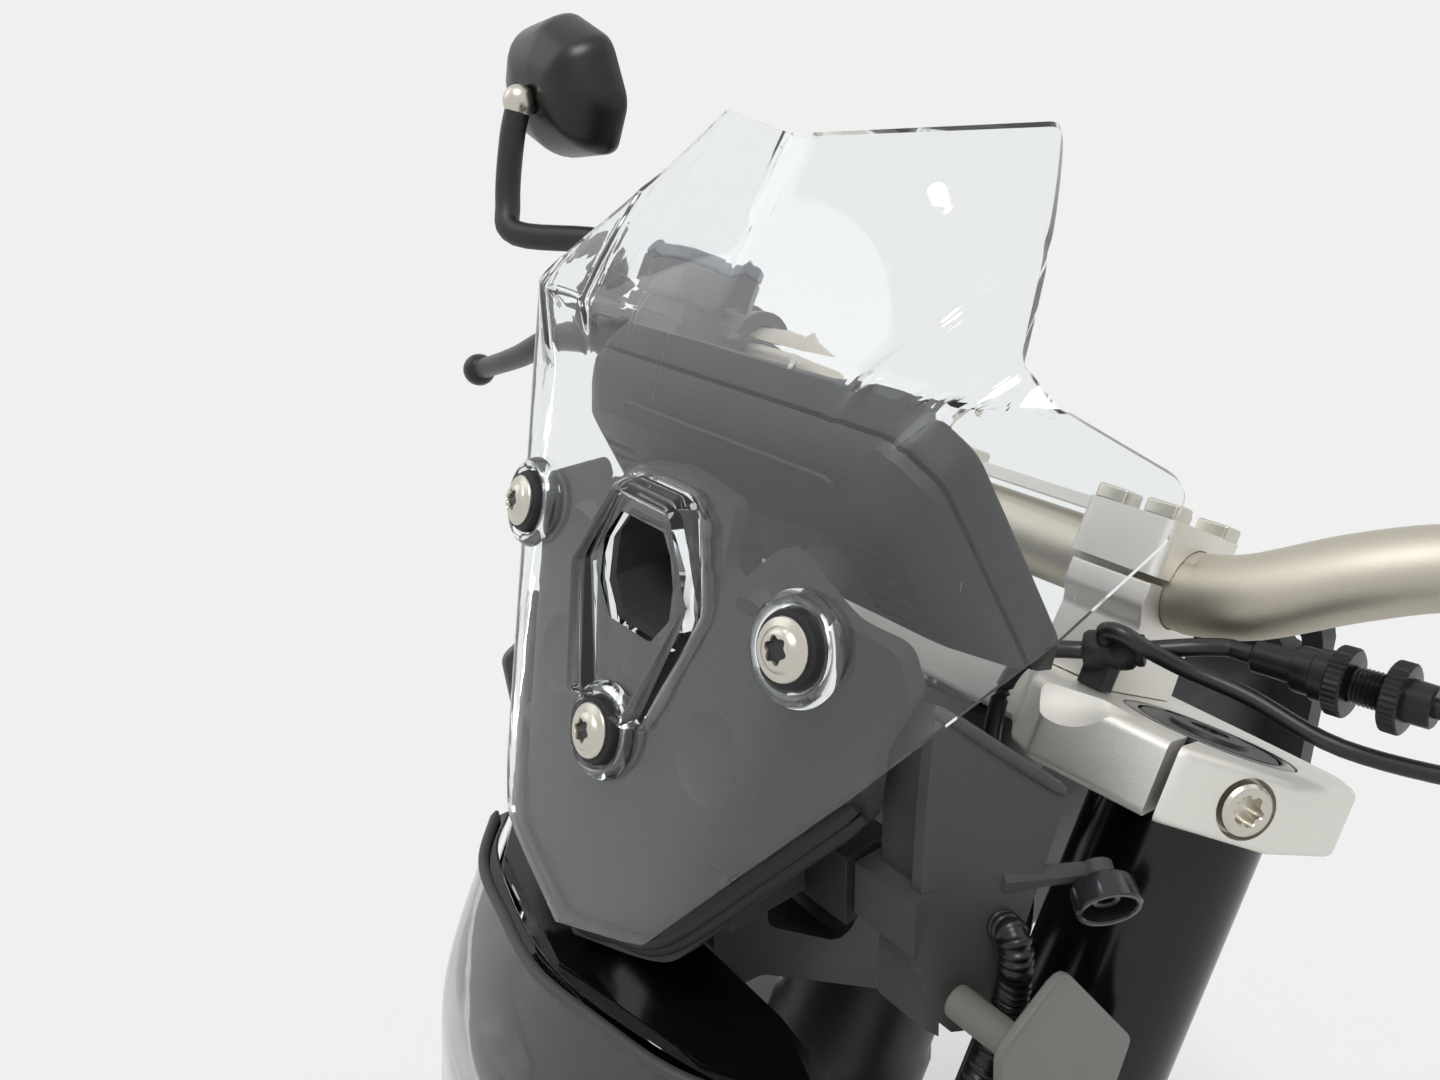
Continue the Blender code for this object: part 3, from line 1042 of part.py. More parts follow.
# How the panel's outer face moves out for each metre back and up, and both together
PANEL_BACK = 0.471
PANEL_UP = -0.189
PANEL_LEAN = math.hypot(PANEL_BACK, PANEL_UP)


def panel_x(y, z):
    """How far out the inner panel's outer face lies."""
    return 0.0905 + PANEL_BACK * (y + 0.144) + PANEL_UP * (z - 0.054)


def plate(outline, outer, thickness, side):
    """A plate from an outline in Y and Z, whose outer face follows a rule."""
    rings = [[(side * (outer(y, z) - deep), y, z) for y, z in outline] for deep in (0.0, thickness)]
    return loft(rings)


# Outline of the pale tab low beside the fork: y, z, corner radius
TAB_EDGE = [(-0.1380, -0.0070, 0.006), (-0.1010, -0.0550, 0.006), (-0.1190, -0.1050, 0.010), (-0.1560, -0.0900, 0.010),
            (-0.1620, -0.0200, 0.006)]
TAB_X = 0.133
TAB_PIN = (-0.1490, -0.0300)
TAB_PIN_RADIUS = 0.005
CUP_AXIS = (0.78, -0.50, -0.37)
CUP_PLACE = (0.1260, -0.1100, -0.0080)
CUP_DEPTH = 0.008
CUP_ARM_ROOT = (-0.1310, 0.0000)
PAD_THICKNESS = 0.005
PAD_RADIUS = 0.005


def make_side_pieces(datum):
    """Inner panels, tabs and fastening cups, left and right."""
    for label, side in SIDES:
        outline = rounded(PANEL_EDGE, 2)
        panel = put(f"inner_panel_{label}", plate(outline, panel_x, PANEL_THICKNESS, side), GREY_PLASTIC, datum)
        flange = plate([(-0.1440, 0.0540), (-0.1420, 0.0500), (-0.1525, -0.0430), (-0.1560, -0.0400)], panel_x, 0.018, side)
        combine(panel, put(f"panel_flange_{label}", flange, GREY_PLASTIC, datum), "UNION")
        pad = box((side * (CROSSBAR_HALF + GAP), -0.157, -0.017), (side * 0.0985, -0.145, 0.001))
        combine(panel, put(f"panel_pad_{label}", pad, GREY_PLASTIC, datum), "UNION")
        tab = put(f"fairing_tab_{label}", plate(rounded(TAB_EDGE), lambda y, z: TAB_X, 0.003, side), PALE_PLASTIC, datum)
        y, z = TAB_PIN
        root = panel_x(y, z) + TAB_PIN_RADIUS * PANEL_LEAN + GAP
        length = TAB_X - 0.002 - root
        pin = turned([(0, 0), (TAB_PIN_RADIUS, 0), (TAB_PIN_RADIUS, length), (0, length)], 16)
        frame = Matrix.Translation((side * root, y, z)) @ along((side, 0, 0))
        combine(tab, put(f"tab_pin_{label}", moved(pin, frame), PALE_PLASTIC, datum), "UNION")
        make_cup(label, side, panel, datum)


def make_cup(label, side, panel, datum):
    """A moulded cup for a quarter-turn fastener on an arm of the inner panel."""
    axis = Vector((side * CUP_AXIS[0], CUP_AXIS[1], CUP_AXIS[2])).normalized()
    place = Vector((side * CUP_PLACE[0], CUP_PLACE[1], CUP_PLACE[2]))
    frame = Matrix.Translation(place) @ along(axis)
    cup = turned([(0, -CUP_DEPTH), (0.0090, -CUP_DEPTH), (0.0090, 0.0), (0.0072, 0.0), (0.0072, -0.006),
                  (0.0040, -0.006), (0.0040, -0.003), (0.0022, -0.003), (0.0022, -0.0065), (0, -0.0065)], 20)
    put(f"fastener_cup_{label}", moved(cup, frame), DARK_PLASTIC, datum)
    pad_top = -CUP_DEPTH - GAP
    pad_foot = pad_top - PAD_THICKNESS
    pad = turned([(0, pad_foot), (PAD_RADIUS, pad_foot), (PAD_RADIUS, pad_top), (0, pad_top)], 16)
    combine(panel, put(f"cup_pad_{label}", moved(pad, frame), GREY_PLASTIC, datum), "UNION")
    y, z = CUP_ARM_ROOT
    root = Vector((side * (panel_x(y, z) - 0.002), y, z))
    tip = frame @ Vector((0, 0, pad_foot + 0.0014))
    arm = swept([root, tip], [0.0034, 0.0028], 8)
    combine(panel, put(f"cup_arm_{label}", arm, GREY_PLASTIC, datum), "UNION")


CONDUIT_RADIUS = 0.0040


def make_conduit(datum):
    """The corrugated sleeve down to the lamp on the left."""
    route = [(0.1086, -0.1331, -0.0119), (0.1145, -0.1358, -0.0108), (0.1168, -0.1368, -0.0180),
             (0.1160, -0.1372, -0.0320), (0.1140, -0.1410, -0.0500), (0.1100, -0.1490, -0.0700),
             (0.1035, -0.1610, -0.0850), (0.0960, -0.1720, -0.0905), (0.0903, -0.1752, -0.0901),
             (0.0874, -0.1771, -0.0892)]
    tube("wiring_conduit", route, CONDUIT_RADIUS, RUBBER, datum, 2, 4)


def main():
    clear_scene()
    datum = empty("datum", location=(0, -DATUM_AHEAD, DATUM_UP))
    head = empty("head", datum, turn=-RAKE)
    steering = empty("steering", datum, turn=-RAKE)
    make_head(datum, head)
    make_stay(datum, head)
    make_screen(datum)
    make_carrier(datum)
    make_display(datum, head)
    make_lamp(datum)
    make_side_pieces(datum)
    make_conduit(datum)
    make_yokes(steering)
    make_stem(steering)
    make_fork(steering)
    make_bar(steering)
    make_clamp(steering)
    make_controls(steering)
    make_reservoir(steering)
    make_cables(steering)


main()
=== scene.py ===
"""Looks of an adventure motorcycle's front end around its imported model."""
import json
import math

import bmesh
import bpy
from mathutils import Matrix, Vector


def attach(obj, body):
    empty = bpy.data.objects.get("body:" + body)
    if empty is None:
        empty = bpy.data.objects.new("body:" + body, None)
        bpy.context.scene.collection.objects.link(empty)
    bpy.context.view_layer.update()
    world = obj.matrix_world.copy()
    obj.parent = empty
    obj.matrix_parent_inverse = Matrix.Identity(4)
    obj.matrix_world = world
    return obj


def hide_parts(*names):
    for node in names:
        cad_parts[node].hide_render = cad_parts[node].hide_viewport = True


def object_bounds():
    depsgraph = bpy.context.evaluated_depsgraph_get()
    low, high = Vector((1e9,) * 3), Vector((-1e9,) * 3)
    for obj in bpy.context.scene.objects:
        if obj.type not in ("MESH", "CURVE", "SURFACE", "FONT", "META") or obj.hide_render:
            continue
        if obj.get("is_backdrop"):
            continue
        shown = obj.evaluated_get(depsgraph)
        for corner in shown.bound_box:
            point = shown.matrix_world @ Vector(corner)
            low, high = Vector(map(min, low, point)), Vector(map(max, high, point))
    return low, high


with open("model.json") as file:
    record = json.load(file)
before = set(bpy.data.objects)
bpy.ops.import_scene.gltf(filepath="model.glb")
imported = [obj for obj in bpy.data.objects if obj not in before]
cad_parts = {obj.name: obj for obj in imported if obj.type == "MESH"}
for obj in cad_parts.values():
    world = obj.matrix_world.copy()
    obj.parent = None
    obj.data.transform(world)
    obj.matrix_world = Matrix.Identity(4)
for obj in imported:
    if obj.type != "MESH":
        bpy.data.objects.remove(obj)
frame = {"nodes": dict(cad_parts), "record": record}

bl_info = {
    "name": "Motorcycle front end",
    "version": (1, 0, 0),
    "blender": (4, 5, 0),
    "location": "3D View > Sidebar > Front end",
    "description": "Builds the visible pieces and finishes of a motorcycle front end",
    "category": "Object",
}

RECORD_SLOTS = {row["node"]: row["material_slot"] for row in frame["record"]["subparts"]}
STATIC, TURNING = "frame_side", "steering_side"
SIDES = (("left", 1), ("right", -1))

# Two frames that the sizes are given in, both at the steering axis: level with the
# machine, and turned by the rake so that its Z runs up the axis
RAKE = math.radians(27)
DATUM = Matrix.Translation((0, -0.17, 0.105))
STEER = DATUM @ Matrix.Rotation(-RAKE, 4, "X")
WORLD = Matrix.Identity(4)

# The windscreen's surface: a plain lower facet, a keeled upper one, and wings folded back
BASE_Y, BASE_Z = -0.172, 0.071
LOWER_SLOPE, UPPER_SLOPE = 0.378, 0.7
KEEL_FOOT, KEEL_TURN, KEEL_SPREAD = 0.1365, 7.6, 0.1
FOLD_SLOPE, FOLD_SOFTNESS, FOLD_SETBACK = 0.8, 0.007, 0.0008
FOLD_LINE = ((0.101, 0.145), (0.06, 0.02))
# Half the sheet's outline upwards: x, z and corner radius
SCREEN_EDGE = [(0.041, -0.024, 0.008), (0.086, 0.034, 0.06), (0.121, 0.0823, 0.014), (0.136, 0.108, 0.01),
               (0.138, 0.121, 0.007), (0.101, 0.145, 0.01), (0.069, 0.191, 0.005)]
SCREEN_BOTTOM, SCREEN_TOP = -0.0396, 0.1876
# Corners of half the channel's outline and of the opening in its floor
CHANNEL = [(0.014, 0.092), (0.0275, 0.0665), (0.013, 0.029)]
OPENING = [(0.011, 0.085), (0.0185, 0.075), (0.0185, 0.061), (0.011, 0.052)]
# Two soft folds on each upper wing: their ends, height and half width
RIDGES = (((0.093, 0.175), (0.06, 0.129)), ((0.1008, 0.1437), (0.08, 0.119)))
RIDGE_HEIGHT, RIDGE_WIDTH = 0.0008, 0.0026
SCREWS = ((0.068, 0.071), (-0.068, 0.071), (0.0, 0.0215))
# The channel's floor turns at this height, and slopes at this rate above it
FLOOR_TURN, FLOOR_SLOPE = 0.055, 0.0055 / 0.032
# Half the carrier's outline, and how far it lies behind the sheet
CARRIER_EDGE = [(0.044, -0.033, 0.01), (0.084, 0.022, 0.008), (0.084, 0.042, 0.01), (0.09, 0.06, 0.008),
                (0.086, 0.072, 0.008), (0.047, 0.088, 0.006), (0.027, 0.066, 0.006), (0.025, 0.092, 0.004)]
CARRIER_BOTTOM, CARRIER_TOP = -0.048, 0.096
CARRIER_SETBACK, CARRIER_THICKNESS = 0.0085, 0.005

# Sizes that the yokes, the fork and the bar share, in the turned frame
YOKE_TOP, YOKE_THICKNESS = -0.01, 0.023
LEG_X, LEG_Y, LEG_RADIUS = 0.105, -0.03, 0.027
STEM_BORE = 0.0153
BAR_Y, BAR_Z, BAR_RADIUS = -0.015, 0.03, 0.0143
CLAMP_TOP, CLAMP_SPLIT = 0.051, 0.0012
RISER_X, RISER_HALF = 0.057, 0.0155
FORK_FOOT, STANCHION_FOOT = -0.5, -0.7
GAP = 0.0003
# Half the length of a cutter that goes right through
THROUGH = 0.12

# Centre line of the left half of the bar: x, y, z and radius
BAR_LINE = [(0, -0.015, 0.03, 0.0143), (0.078, -0.015, 0.03, 0.0143), (0.096, -0.0145, 0.036, 0.0143),
            (0.12, -0.008, 0.052, 0.0141), (0.142, -0.001, 0.064, 0.0136), (0.168, 0.004, 0.071, 0.0124),
            (0.192, 0.008, 0.072, 0.0111), (0.2048, 0.0103, 0.0713, 0.0111), (0.2985, 0.0275, 0.066, 0.0111),
            (0.405, 0.047, 0.06, 0.0111)]
# How far out along the bar the grip, the switches and the mirror's arm sit
GRIP_AT, SWITCH_AT, MIRROR_AT = 0.268, 0.249, 0.203
# Where the clutch cable's adjuster and its guide sit
ADJUSTER = (Vector((0.108, -0.027, 0.0185)), Vector((0.16, -0.0256, 0.0233)))
GUIDE = (Vector((0.0775, -0.0445, 0.006)), Vector((0.066, -0.0495, 0.001)))
CABLE_RADIUS, LEAD_RADIUS = 0.003, 0.0028
# The conduit's radius between its rings, their height and the way from one to the next
CONDUIT_RADIUS, RING_HEIGHT, RING_PITCH = 0.004, 0.0008, 0.0024

# The display's housing: how it leans, where its top edge is and half its outline
DISPLAY_TILT = math.radians(27)
DISPLAY_TOP = Vector((0.0, -0.126, 0.126))
DISPLAY_EDGE = [(0.068, 0, 0.01), (0.081, -0.012, 0.012), (0.085, -0.05, 0.04), (0.088, -0.082, 0.014),
                (0.07, -0.125, 0.01)]
DISPLAY_WIDTH, DISPLAY_HEIGHT, DISPLAY_BACK = 0.088, 0.125, -0.03
# The housing is cut off level at this height in the turned frame, clear of the clamp
DISPLAY_FOOT = -0.0045

# The photo's camera: where it stands and its three axes as the picture has them
CAMERA_AT = Vector((0.26276, -0.3389, 0.21324))
CAMERA_RIGHT = Vector((0.60734959, 0.79371415, -0.03382792))
CAMERA_DOWN = Vector((0.29827544, -0.26729225, -0.91628959))
CAMERA_AHEAD = Vector((-0.73631395, 0.54641807, -0.39908527))
CAMERA_LENS = 28.853


def linear(code):
    """A hex colour as it is seen, turned to the linear values that shaders take."""
    parts = [int(code[i:i + 2], 16) / 255 for i in (1, 3, 5)]
    return tuple(c / 12.92 if c <= 0.04045 else ((c + 0.055) / 1.055) ** 2.4 for c in parts) + (1.0,)


def add_node(tree, kind, settings=None, **links):
    """Adds a node with its settings, and links its inputs to the sockets given by input name."""
    made = tree.nodes.new(kind)
    for key, value in (settings or {}).items():
        if key in made.inputs:
            made.inputs[key].default_value = value
        else:
            setattr(made, key, value)
    for name, socket in links.items():
        tree.links.new(socket, made.inputs[name.replace("_", " ")])
    return made


def base_material(name, colour, **sockets):
    """A Principled material with plain values on its own sockets."""
    made = bpy.data.materials.new(name)
    made.use_nodes = True
    tree = made.node_tree
    shader = tree.nodes["Principled BSDF"]
    shader.inputs["Base Color"].default_value = colour
    for key, value in sockets.items():
        shader.inputs[key.replace("_", " ")].default_value = value
    return made, tree, shader


def grained(name, code, grain_mm, depth, patch, rough, **sockets):
    """A moulded, cast or blasted surface: fine grain as bump, soft patches in colour and gloss."""
    colour = linear(code)
    made, tree, shader = base_material(name, colour, **sockets)
    place = add_node(tree, "ShaderNodeTexCoord").outputs["Object"]
    # Real grain is a tenth of a millimetre or finer, and is drawn as coarse as it needs to show
    grain = add_node(tree, "ShaderNodeTexNoise", {"Scale": 1000 / grain_mm, "Detail": 3.0}, Vector=place)
    bump = add_node(tree, "ShaderNodeBump", {"Strength": depth, "Distance": grain_mm / 2500},
                    Height=grain.outputs["Fac"])
    tree.links.new(bump.outputs["Normal"], shader.inputs["Normal"])
    patches = add_node(tree, "ShaderNodeTexNoise", {"Scale": PATCH_SCALE, "Detail": 4.0},
                       Vector=place).outputs["Fac"]
    lifted = tuple(min(c * (1 + patch * 3) + patch * 0.012, 1) for c in colour[:3]) + (1.0,)
    tint = add_node(tree, "ShaderNodeMixRGB", {"Color1": colour, "Color2": lifted}, Fac=patches)
    tree.links.new(tint.outputs["Color"], shader.inputs["Base Color"])
    span = {"From Min": 0.3, "From Max": 0.7, "To Min": rough[0], "To Max": rough[1]}
    gloss = add_node(tree, "ShaderNodeMapRange", span, Value=patches)
    tree.links.new(gloss.outputs["Result"], shader.inputs["Roughness"])
    return made


def clear_sheet(name, code, haze, ior):
    """Clear polycarbonate or acrylic: polished, with light handling scratches and a faint haze."""
    made, tree, shader = base_material(name, linear(code), IOR=ior, Transmission_Weight=1.0,
                                       Specular_IOR_Level=0.3)
    place = add_node(tree, "ShaderNodeTexCoord").outputs["Object"]
    # Hairlines 0.7 mm wide, coarser than real ones so that they show, and about 60 mm long
    hairline = {"Rotation": (0.3, 0.5, 1.1), "Scale": (1400, 16, 16)}
    drawn = add_node(tree, "ShaderNodeMapping", hairline, Vector=place).outputs["Vector"]
    hair = add_node(tree, "ShaderNodeTexNoise", {"Scale": 1.0, "Detail": 2.0}, Vector=drawn).outputs["Fac"]
    span = {"From Min": 0.7, "From Max": 0.8, "To Min": haze, "To Max": 0.35}
    marks = add_node(tree, "ShaderNodeMapRange", span, Value=hair)
    tree.links.new(marks.outputs["Result"], shader.inputs["Roughness"])
    # Light passes to what is behind the sheet, which a solid refracting sheet would leave in the dark
    path = add_node(tree, "ShaderNodeLightPath")
    through = add_node(tree, "ShaderNodeBsdfTransparent", {"Color": (0.93, 0.94, 0.95, 1.0)})
    mixed = add_node(tree, "ShaderNodeMixShader", Fac=path.outputs["Is Shadow Ray"])
    tree.links.new(shader.outputs["BSDF"], mixed.inputs[1])
    tree.links.new(through.outputs["BSDF"], mixed.inputs[2])
    tree.links.new(mixed.outputs["Shader"], tree.nodes["Material Output"].inputs["Surface"])
    return made


MATERIALS = {}
# Soft patches about 45 mm across
PATCH_SCALE = 22.0
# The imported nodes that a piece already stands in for
REPLACED = set()


def make_materials(colours):
    """The finishes by the record's slots, and a few more for small pieces."""
    metal = {"Metallic": 1.0}
    dull, sleek = {"Specular_IOR_Level": 0.3}, {"Specular_IOR_Level": 0.4}
    MATERIALS.update({
        # Cast, glass-bead blasted and lacquered: an even pale silver with a fine sparkle
        "yoke_silver": grained("blasted cast aluminium", colours.yoke, 0.5, 0.35, 0.02, (0.5, 0.6), **metal),
        # Blasted tube in warm anodising: yellower and duller than the castings
        "bar_champagne": grained("champagne anodised aluminium", colours.bar, 0.35, 0.5, 0.02, (0.46, 0.56),
                                 **metal),
        # Sprayed over a casting: a soft sheen with the cast grain under it
        "black_cast": grained("satin black coated casting", "#17181A", 0.6, 0.3, 0.1, (0.38, 0.5)),
        # Hard anodised and polished black: a deep gloss that mirrors the lights as streaks
        "black_gloss": grained("gloss black anodising", "#08080A", 2.0, 0.01, 0.02, (0.14, 0.2), **sleek),
        # Moulded in a polished tool: black with almost sharp reflections
        "lamp_black": grained("gloss black moulding", "#0A0A0B", 2.0, 0.01, 0.02, (0.08, 0.14),
                              Specular_IOR_Level=0.45),
        # Plated and ground: a bright mirror, a little blurred
        "steel": grained("hard chromed steel", "#C9CACC", 0.8, 0.03, 0.01, (0.1, 0.16), **metal),
        # Moulded rubber: dark and dull, with only a broad grey sheen
        "rubber": grained("black rubber", "#17171A", 0.6, 0.25, 0.08, (0.52, 0.66), Specular_IOR_Level=0.35),
        # Moulded polypropylene with a fine spark-eroded texture that scatters the light
        "dark_plastic": grained("textured black polypropylene", colours.plastic, 0.7, 0.55, 0.05, (0.5, 0.62),
                                **dull),
        # The display's housing is a blacker, closer-grained moulding than the carrier
        "display_black": grained("textured black acrylonitrile", "#1F2021", 0.7, 0.5, 0.04, (0.46, 0.58),
                                 **dull),
        # Grey inner panels: the same moulding as the carrier, paler and finer
        "grey_plastic": grained("dark grey polypropylene", "#41413F", 0.6, 0.25, 0.04, (0.46, 0.56), **dull),
        # Unpainted acrylonitrile panel, smoother and paler than the brackets
        "pale_plastic": grained("light grey acrylonitrile", "#6A6965", 0.5, 0.15, 0.03, (0.44, 0.54),
                                Specular_IOR_Level=0.35),
        # Drawn plastic sheath over the cables: smooth, with a low sheen along its back
        "sheath": grained("black cable sheath", "#18181A", 0.8, 0.05, 0.05, (0.34, 0.42)),
        # Turned or moulded acetal: black with a clear, soft highlight
        "smooth_black": grained("black acetal", "#131314", 0.6, 0.08, 0.05, (0.28, 0.38), **sleek),
        # Dark tinted cups: nearly as glossy as glass
        "smoked": grained("smoked polycarbonate", "#26262A", 0.8, 0.03, 0.03, (0.12, 0.2)),
        # White diffusing light guide of the daytime lamp, switched off
        "light_guide": grained("frosted acrylic light guide", "#E8E9EA", 0.6, 0.05, 0.01, (0.22, 0.3)),
        # Lacquered lid: a cool grey between satin and gloss
        "reservoir_grey": grained("blue-grey satin lacquer", "#565C66", 0.5, 0.06, 0.03, (0.38, 0.46)),
        # The display switched off: flat black that mirrors like a window at night
        "screen_glass": grained("black cover glass", "#060608", 2.0, 0.005, 0.02, (0.05, 0.08)),
        # Silver behind glass: a sharp mirror with a cool tone
        "mirror": grained("silvered mirror glass", "#E4E6E8", 2.0, 0.002, 0.0, (0.015, 0.03), **metal),
        # Polished sheet: colourless, and seen by its bright edges and a few hairline marks
        "clear": clear_sheet("clear polycarbonate", "#F7F9FA", 0.012, 1.49),
        # The lamp's cover is tinted, so that its bowls show only faintly
        "lamp_cover": clear_sheet("smoked polycarbonate cover", "#B4B6B9", 0.008, 1.58),
        # Vapour-coated bowls: a dark mirror behind the tinted cover
        "reflector": grained("vapour-coated dark reflector", "#54565A", 0.8, 0.02, 0.01, (0.12, 0.2),
                             **metal),
        # Tumbled screws: a warm grey metal with a broad, soft highlight
        "stainless": grained("stainless steel screw", "#C6C1B6", 0.4, 0.15, 0.02, (0.24, 0.34), **metal),
    })


def dress(obj, name):
    """Puts a finish on an object in place of what it came with."""
    obj.data.materials.clear()
    obj.data.materials.append(MATERIALS[name])


def only(kind, geom):
    """The parts of one kind among mixed geometry."""
    return [part for part in geom if isinstance(part, kind)]


def moved(shape, matrix):
    """A shape carried by a matrix, with its faces still outwards where the matrix mirrors it."""
    bmesh.ops.transform(shape, matrix=matrix, verts=shape.verts)
    if matrix.determinant() < 0:
        bmesh.ops.reverse_faces(shape, faces=shape.faces)
    return shape


def as_object(shape, name):
    """A bmesh as an object in the scene."""
    mesh = bpy.data.meshes.new(name)
    shape.to_mesh(mesh)
    shape.free()
    made = bpy.data.objects.new(name, mesh)
    bpy.context.scene.collection.objects.link(made)
    return made


def close_shape(shape):
    """Merges doubled corners and turns the faces outwards."""
    bmesh.ops.remove_doubles(shape, verts=shape.verts, dist=0.00001)
    bmesh.ops.recalc_face_normals(shape, faces=shape.faces)
    return shape


def piece(name, shape, finish, body, node=None, place=None, angle=32, soft=0.0, steps=2,
          soft_from=35):
    """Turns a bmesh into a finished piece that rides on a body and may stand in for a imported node."""
    if place is None:
        place = STEER if body == TURNING else DATUM
    made = as_object(moved(close_shape(shape), place), name)
    made.data.shade_smooth()
    made.data.set_sharp_from_angle(angle=math.radians(angle))
    made.data.materials.append(MATERIALS[finish])
    if soft:
        bevel = made.modifiers.new("Broken edges", "BEVEL")
        bevel.width = soft
        bevel.segments = steps
        bevel.limit_method = "ANGLE"
        bevel.angle_limit = math.radians(soft_from)
        bevel.harden_normals = True
    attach(made, body)
    if node:
        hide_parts(node)
        REPLACED.add(node)
    return made


def along(direction):
    """The turn that brings Z to a direction."""
    return Vector((0, 0, 1)).rotation_difference(Vector(direction)).to_matrix().to_4x4()


def at(spot, way=(0, 0, 1)):
    """The frame of what stands on a spot and points a way."""
    return Matrix.Translation(spot) @ along(way)


def side_scale(side):
    """Nothing for the left, a mirror across x = 0 for the right."""
    return Matrix.Scale(side, 4, (1, 0, 0))


def rounded(corners, steps=3):
    """An outline from (x, y, corner radius) rows, its corners as arcs."""
    points = []
    count = len(corners)
    for index, (x, y, radius) in enumerate(corners):
        here = Vector((x, y))
        back = Vector(corners[index - 1][:2]) - here
        ahead = Vector(corners[(index + 1) % count][:2]) - here
        if radius <= 0:
            points.append((x, y))
            continue
        half = back.angle(ahead) / 2
        reach = min(radius / math.tan(half), back.length * 0.48, ahead.length * 0.48)
        middle = here + (back.normalized() + ahead.normalized()).normalized() * (reach / math.cos(half))
        first = here + back.normalized() * reach - middle
        last = here + ahead.normalized() * reach - middle
        sweep = first.angle_signed(last)
        points += [tuple(middle + Matrix.Rotation(-sweep * k / steps, 2) @ first) for k in range(steps + 1)]
    return points


def mirrored(half):
    """A half outline made whole across x = 0."""
    return list(half) + [(-x, *rest) for x, *rest in reversed(half) if abs(x) > 1e-7]


def whole_outline(bottom, corners, top, steps):
    """An outline from the corners of its left half, closed across x = 0 at two heights."""
    return mirrored(rounded([(0.0, bottom, 0), *corners, (0.0, top, 0)], steps))


def oblong(low, high, radius, steps):
    """A rectangle with round corners."""
    return rounded([(*low, radius), (high[0], low[1], radius), (*high, radius), (low[0], high[1], radius)],
                   steps)


def face_of(points):
    """One face through points."""
    shape = bmesh.new()
    shape.faces.new([shape.verts.new(point) for point in points])
    return shape


def prism(outline, low, high):
    """An outline in X and Y drawn up from low to high."""
    shape = face_of([(x, y, low) for x, y in outline])
    grown = bmesh.ops.extrude_face_region(shape, geom=shape.faces[:])["geom"]
    bmesh.ops.translate(shape, vec=(0, 0, high - low), verts=only(bmesh.types.BMVert, grown))
    return shape


def block(low, high):
    """A box between two corners."""
    return prism([low[:2], (high[0], low[1]), high[:2], (low[0], high[1])], low[2], high[2])


def across(outline, left, right):
    """An outline in Y and Z drawn along X."""
    return moved(prism(outline, left, right), Matrix(((0, 0, 1, 0), (1, 0, 0, 0), (0, 1, 0, 0),
                                                      (0, 0, 0, 1))))


def forward_prism(outline, rear, front):
    """An outline in X and Z drawn along Y."""
    turn = Matrix(((1, 0, 0, 0), (0, 0, -1, 0), (0, 1, 0, 0), (0, 0, 0, 1)))
    return moved(prism(outline, -front, -rear), turn)


def lofted(rings):
    """A body through rings of points, each as long as the next, extruded from one to the next."""
    shape = face_of(rings[0])
    face = shape.faces[:][0]
    spots = {vert: index for index, vert in enumerate(face.verts)}
    for ring in rings[1:]:
        before = {tuple(round(c, 7) for c in vert.co): index for vert, index in spots.items()}
        cap = face
        made = bmesh.ops.extrude_face_region(shape, geom=[cap])["geom"]
        face = only(bmesh.types.BMFace, made)[0]
        # The face that the extrusion started from would stay inside the body
        if cap.is_valid and any(len(edge.link_faces) > 2 for edge in cap.edges):
            bmesh.ops.delete(shape, geom=[cap], context="FACES_ONLY")
        spots = {vert: before[tuple(round(c, 7) for c in vert.co)] for vert in face.verts}
        for vert, index in spots.items():
            vert.co = ring[index]
    return shape


def lobed(rows, segments=48, lobes=6):
    """A turned body from rows of radius, height and depth of the lobes round it."""
    rings = []
    for radius, height, depth in rows:
        turns = [math.tau * k / segments for k in range(segments)]
        reach = [radius + depth * math.cos(lobes * turn) for turn in turns]
        rings.append([(r * math.cos(turn), r * math.sin(turn), height) for r, turn in zip(reach, turns)])
    return lofted(rings)


def turned(profile, segments=48):
    """A solid or ring turned round Z from (radius, height) points."""
    shape = bmesh.new()
    points = [shape.verts.new((radius, 0, height)) for radius, height in profile]
    edges = [shape.edges.new(pair) for pair in zip(points, points[1:])]
    if profile[0][0] > 0 and profile[-1][0] > 0:
        edges.append(shape.edges.new((points[-1], points[0])))
    bmesh.ops.spin(shape, geom=points + edges, cent=(0, 0, 0), axis=(0, 0, 1), angle=math.tau, steps=segments,
                   use_merge=True, use_duplicate=False)
    return shape


def drum(radius, low, high, segments):
    """A plain cylinder round Z."""
    return turned([(0, low), (radius, low), (radius, high), (0, high)], segments)


def ball(radius, spot, columns=40, rows=24):
    """A ball round a spot."""
    shape = bmesh.new()
    bmesh.ops.create_uvsphere(shape, u_segments=columns, v_segments=rows, radius=radius)
    return moved(shape, Matrix.Translation(spot))


def smooth_path(points, per_span):
    """Evenly curved points through a short route."""
    route = [Vector(point) for point in points]
    route = [2 * route[0] - route[1]] + route + [2 * route[-1] - route[-2]]
    path = []
    for a, b, c, d in zip(route, route[1:], route[2:], route[3:]):
        for step in range(per_span):
            t = step / per_span
            path.append(0.5 * (2 * b + (c - a) * t + (2 * a - 5 * b + 4 * c - d) * t * t
                               + (3 * b - a - 3 * c + d) * t ** 3))
    return path + [route[-2]]


def tapered(path, middle, end):
    """A radius for each point of a path, smaller at its two ends."""
    return [end] + [middle] * (len(path) - 2) + [end]


def swept(path, radii, steps=20):
    """A round bar along a path, with a radius for each point."""
    rings = []
    turns = [math.tau * k / steps for k in range(steps)]
    for index, (point, radius) in enumerate(zip(path, radii)):
        turn = along(path[min(index + 1, len(path) - 1)] - path[max(index - 1, 0)])
        rings.append([point + turn @ Vector((radius * math.cos(a), radius * math.sin(a), 0)) for a in turns])
    return lofted(rings)


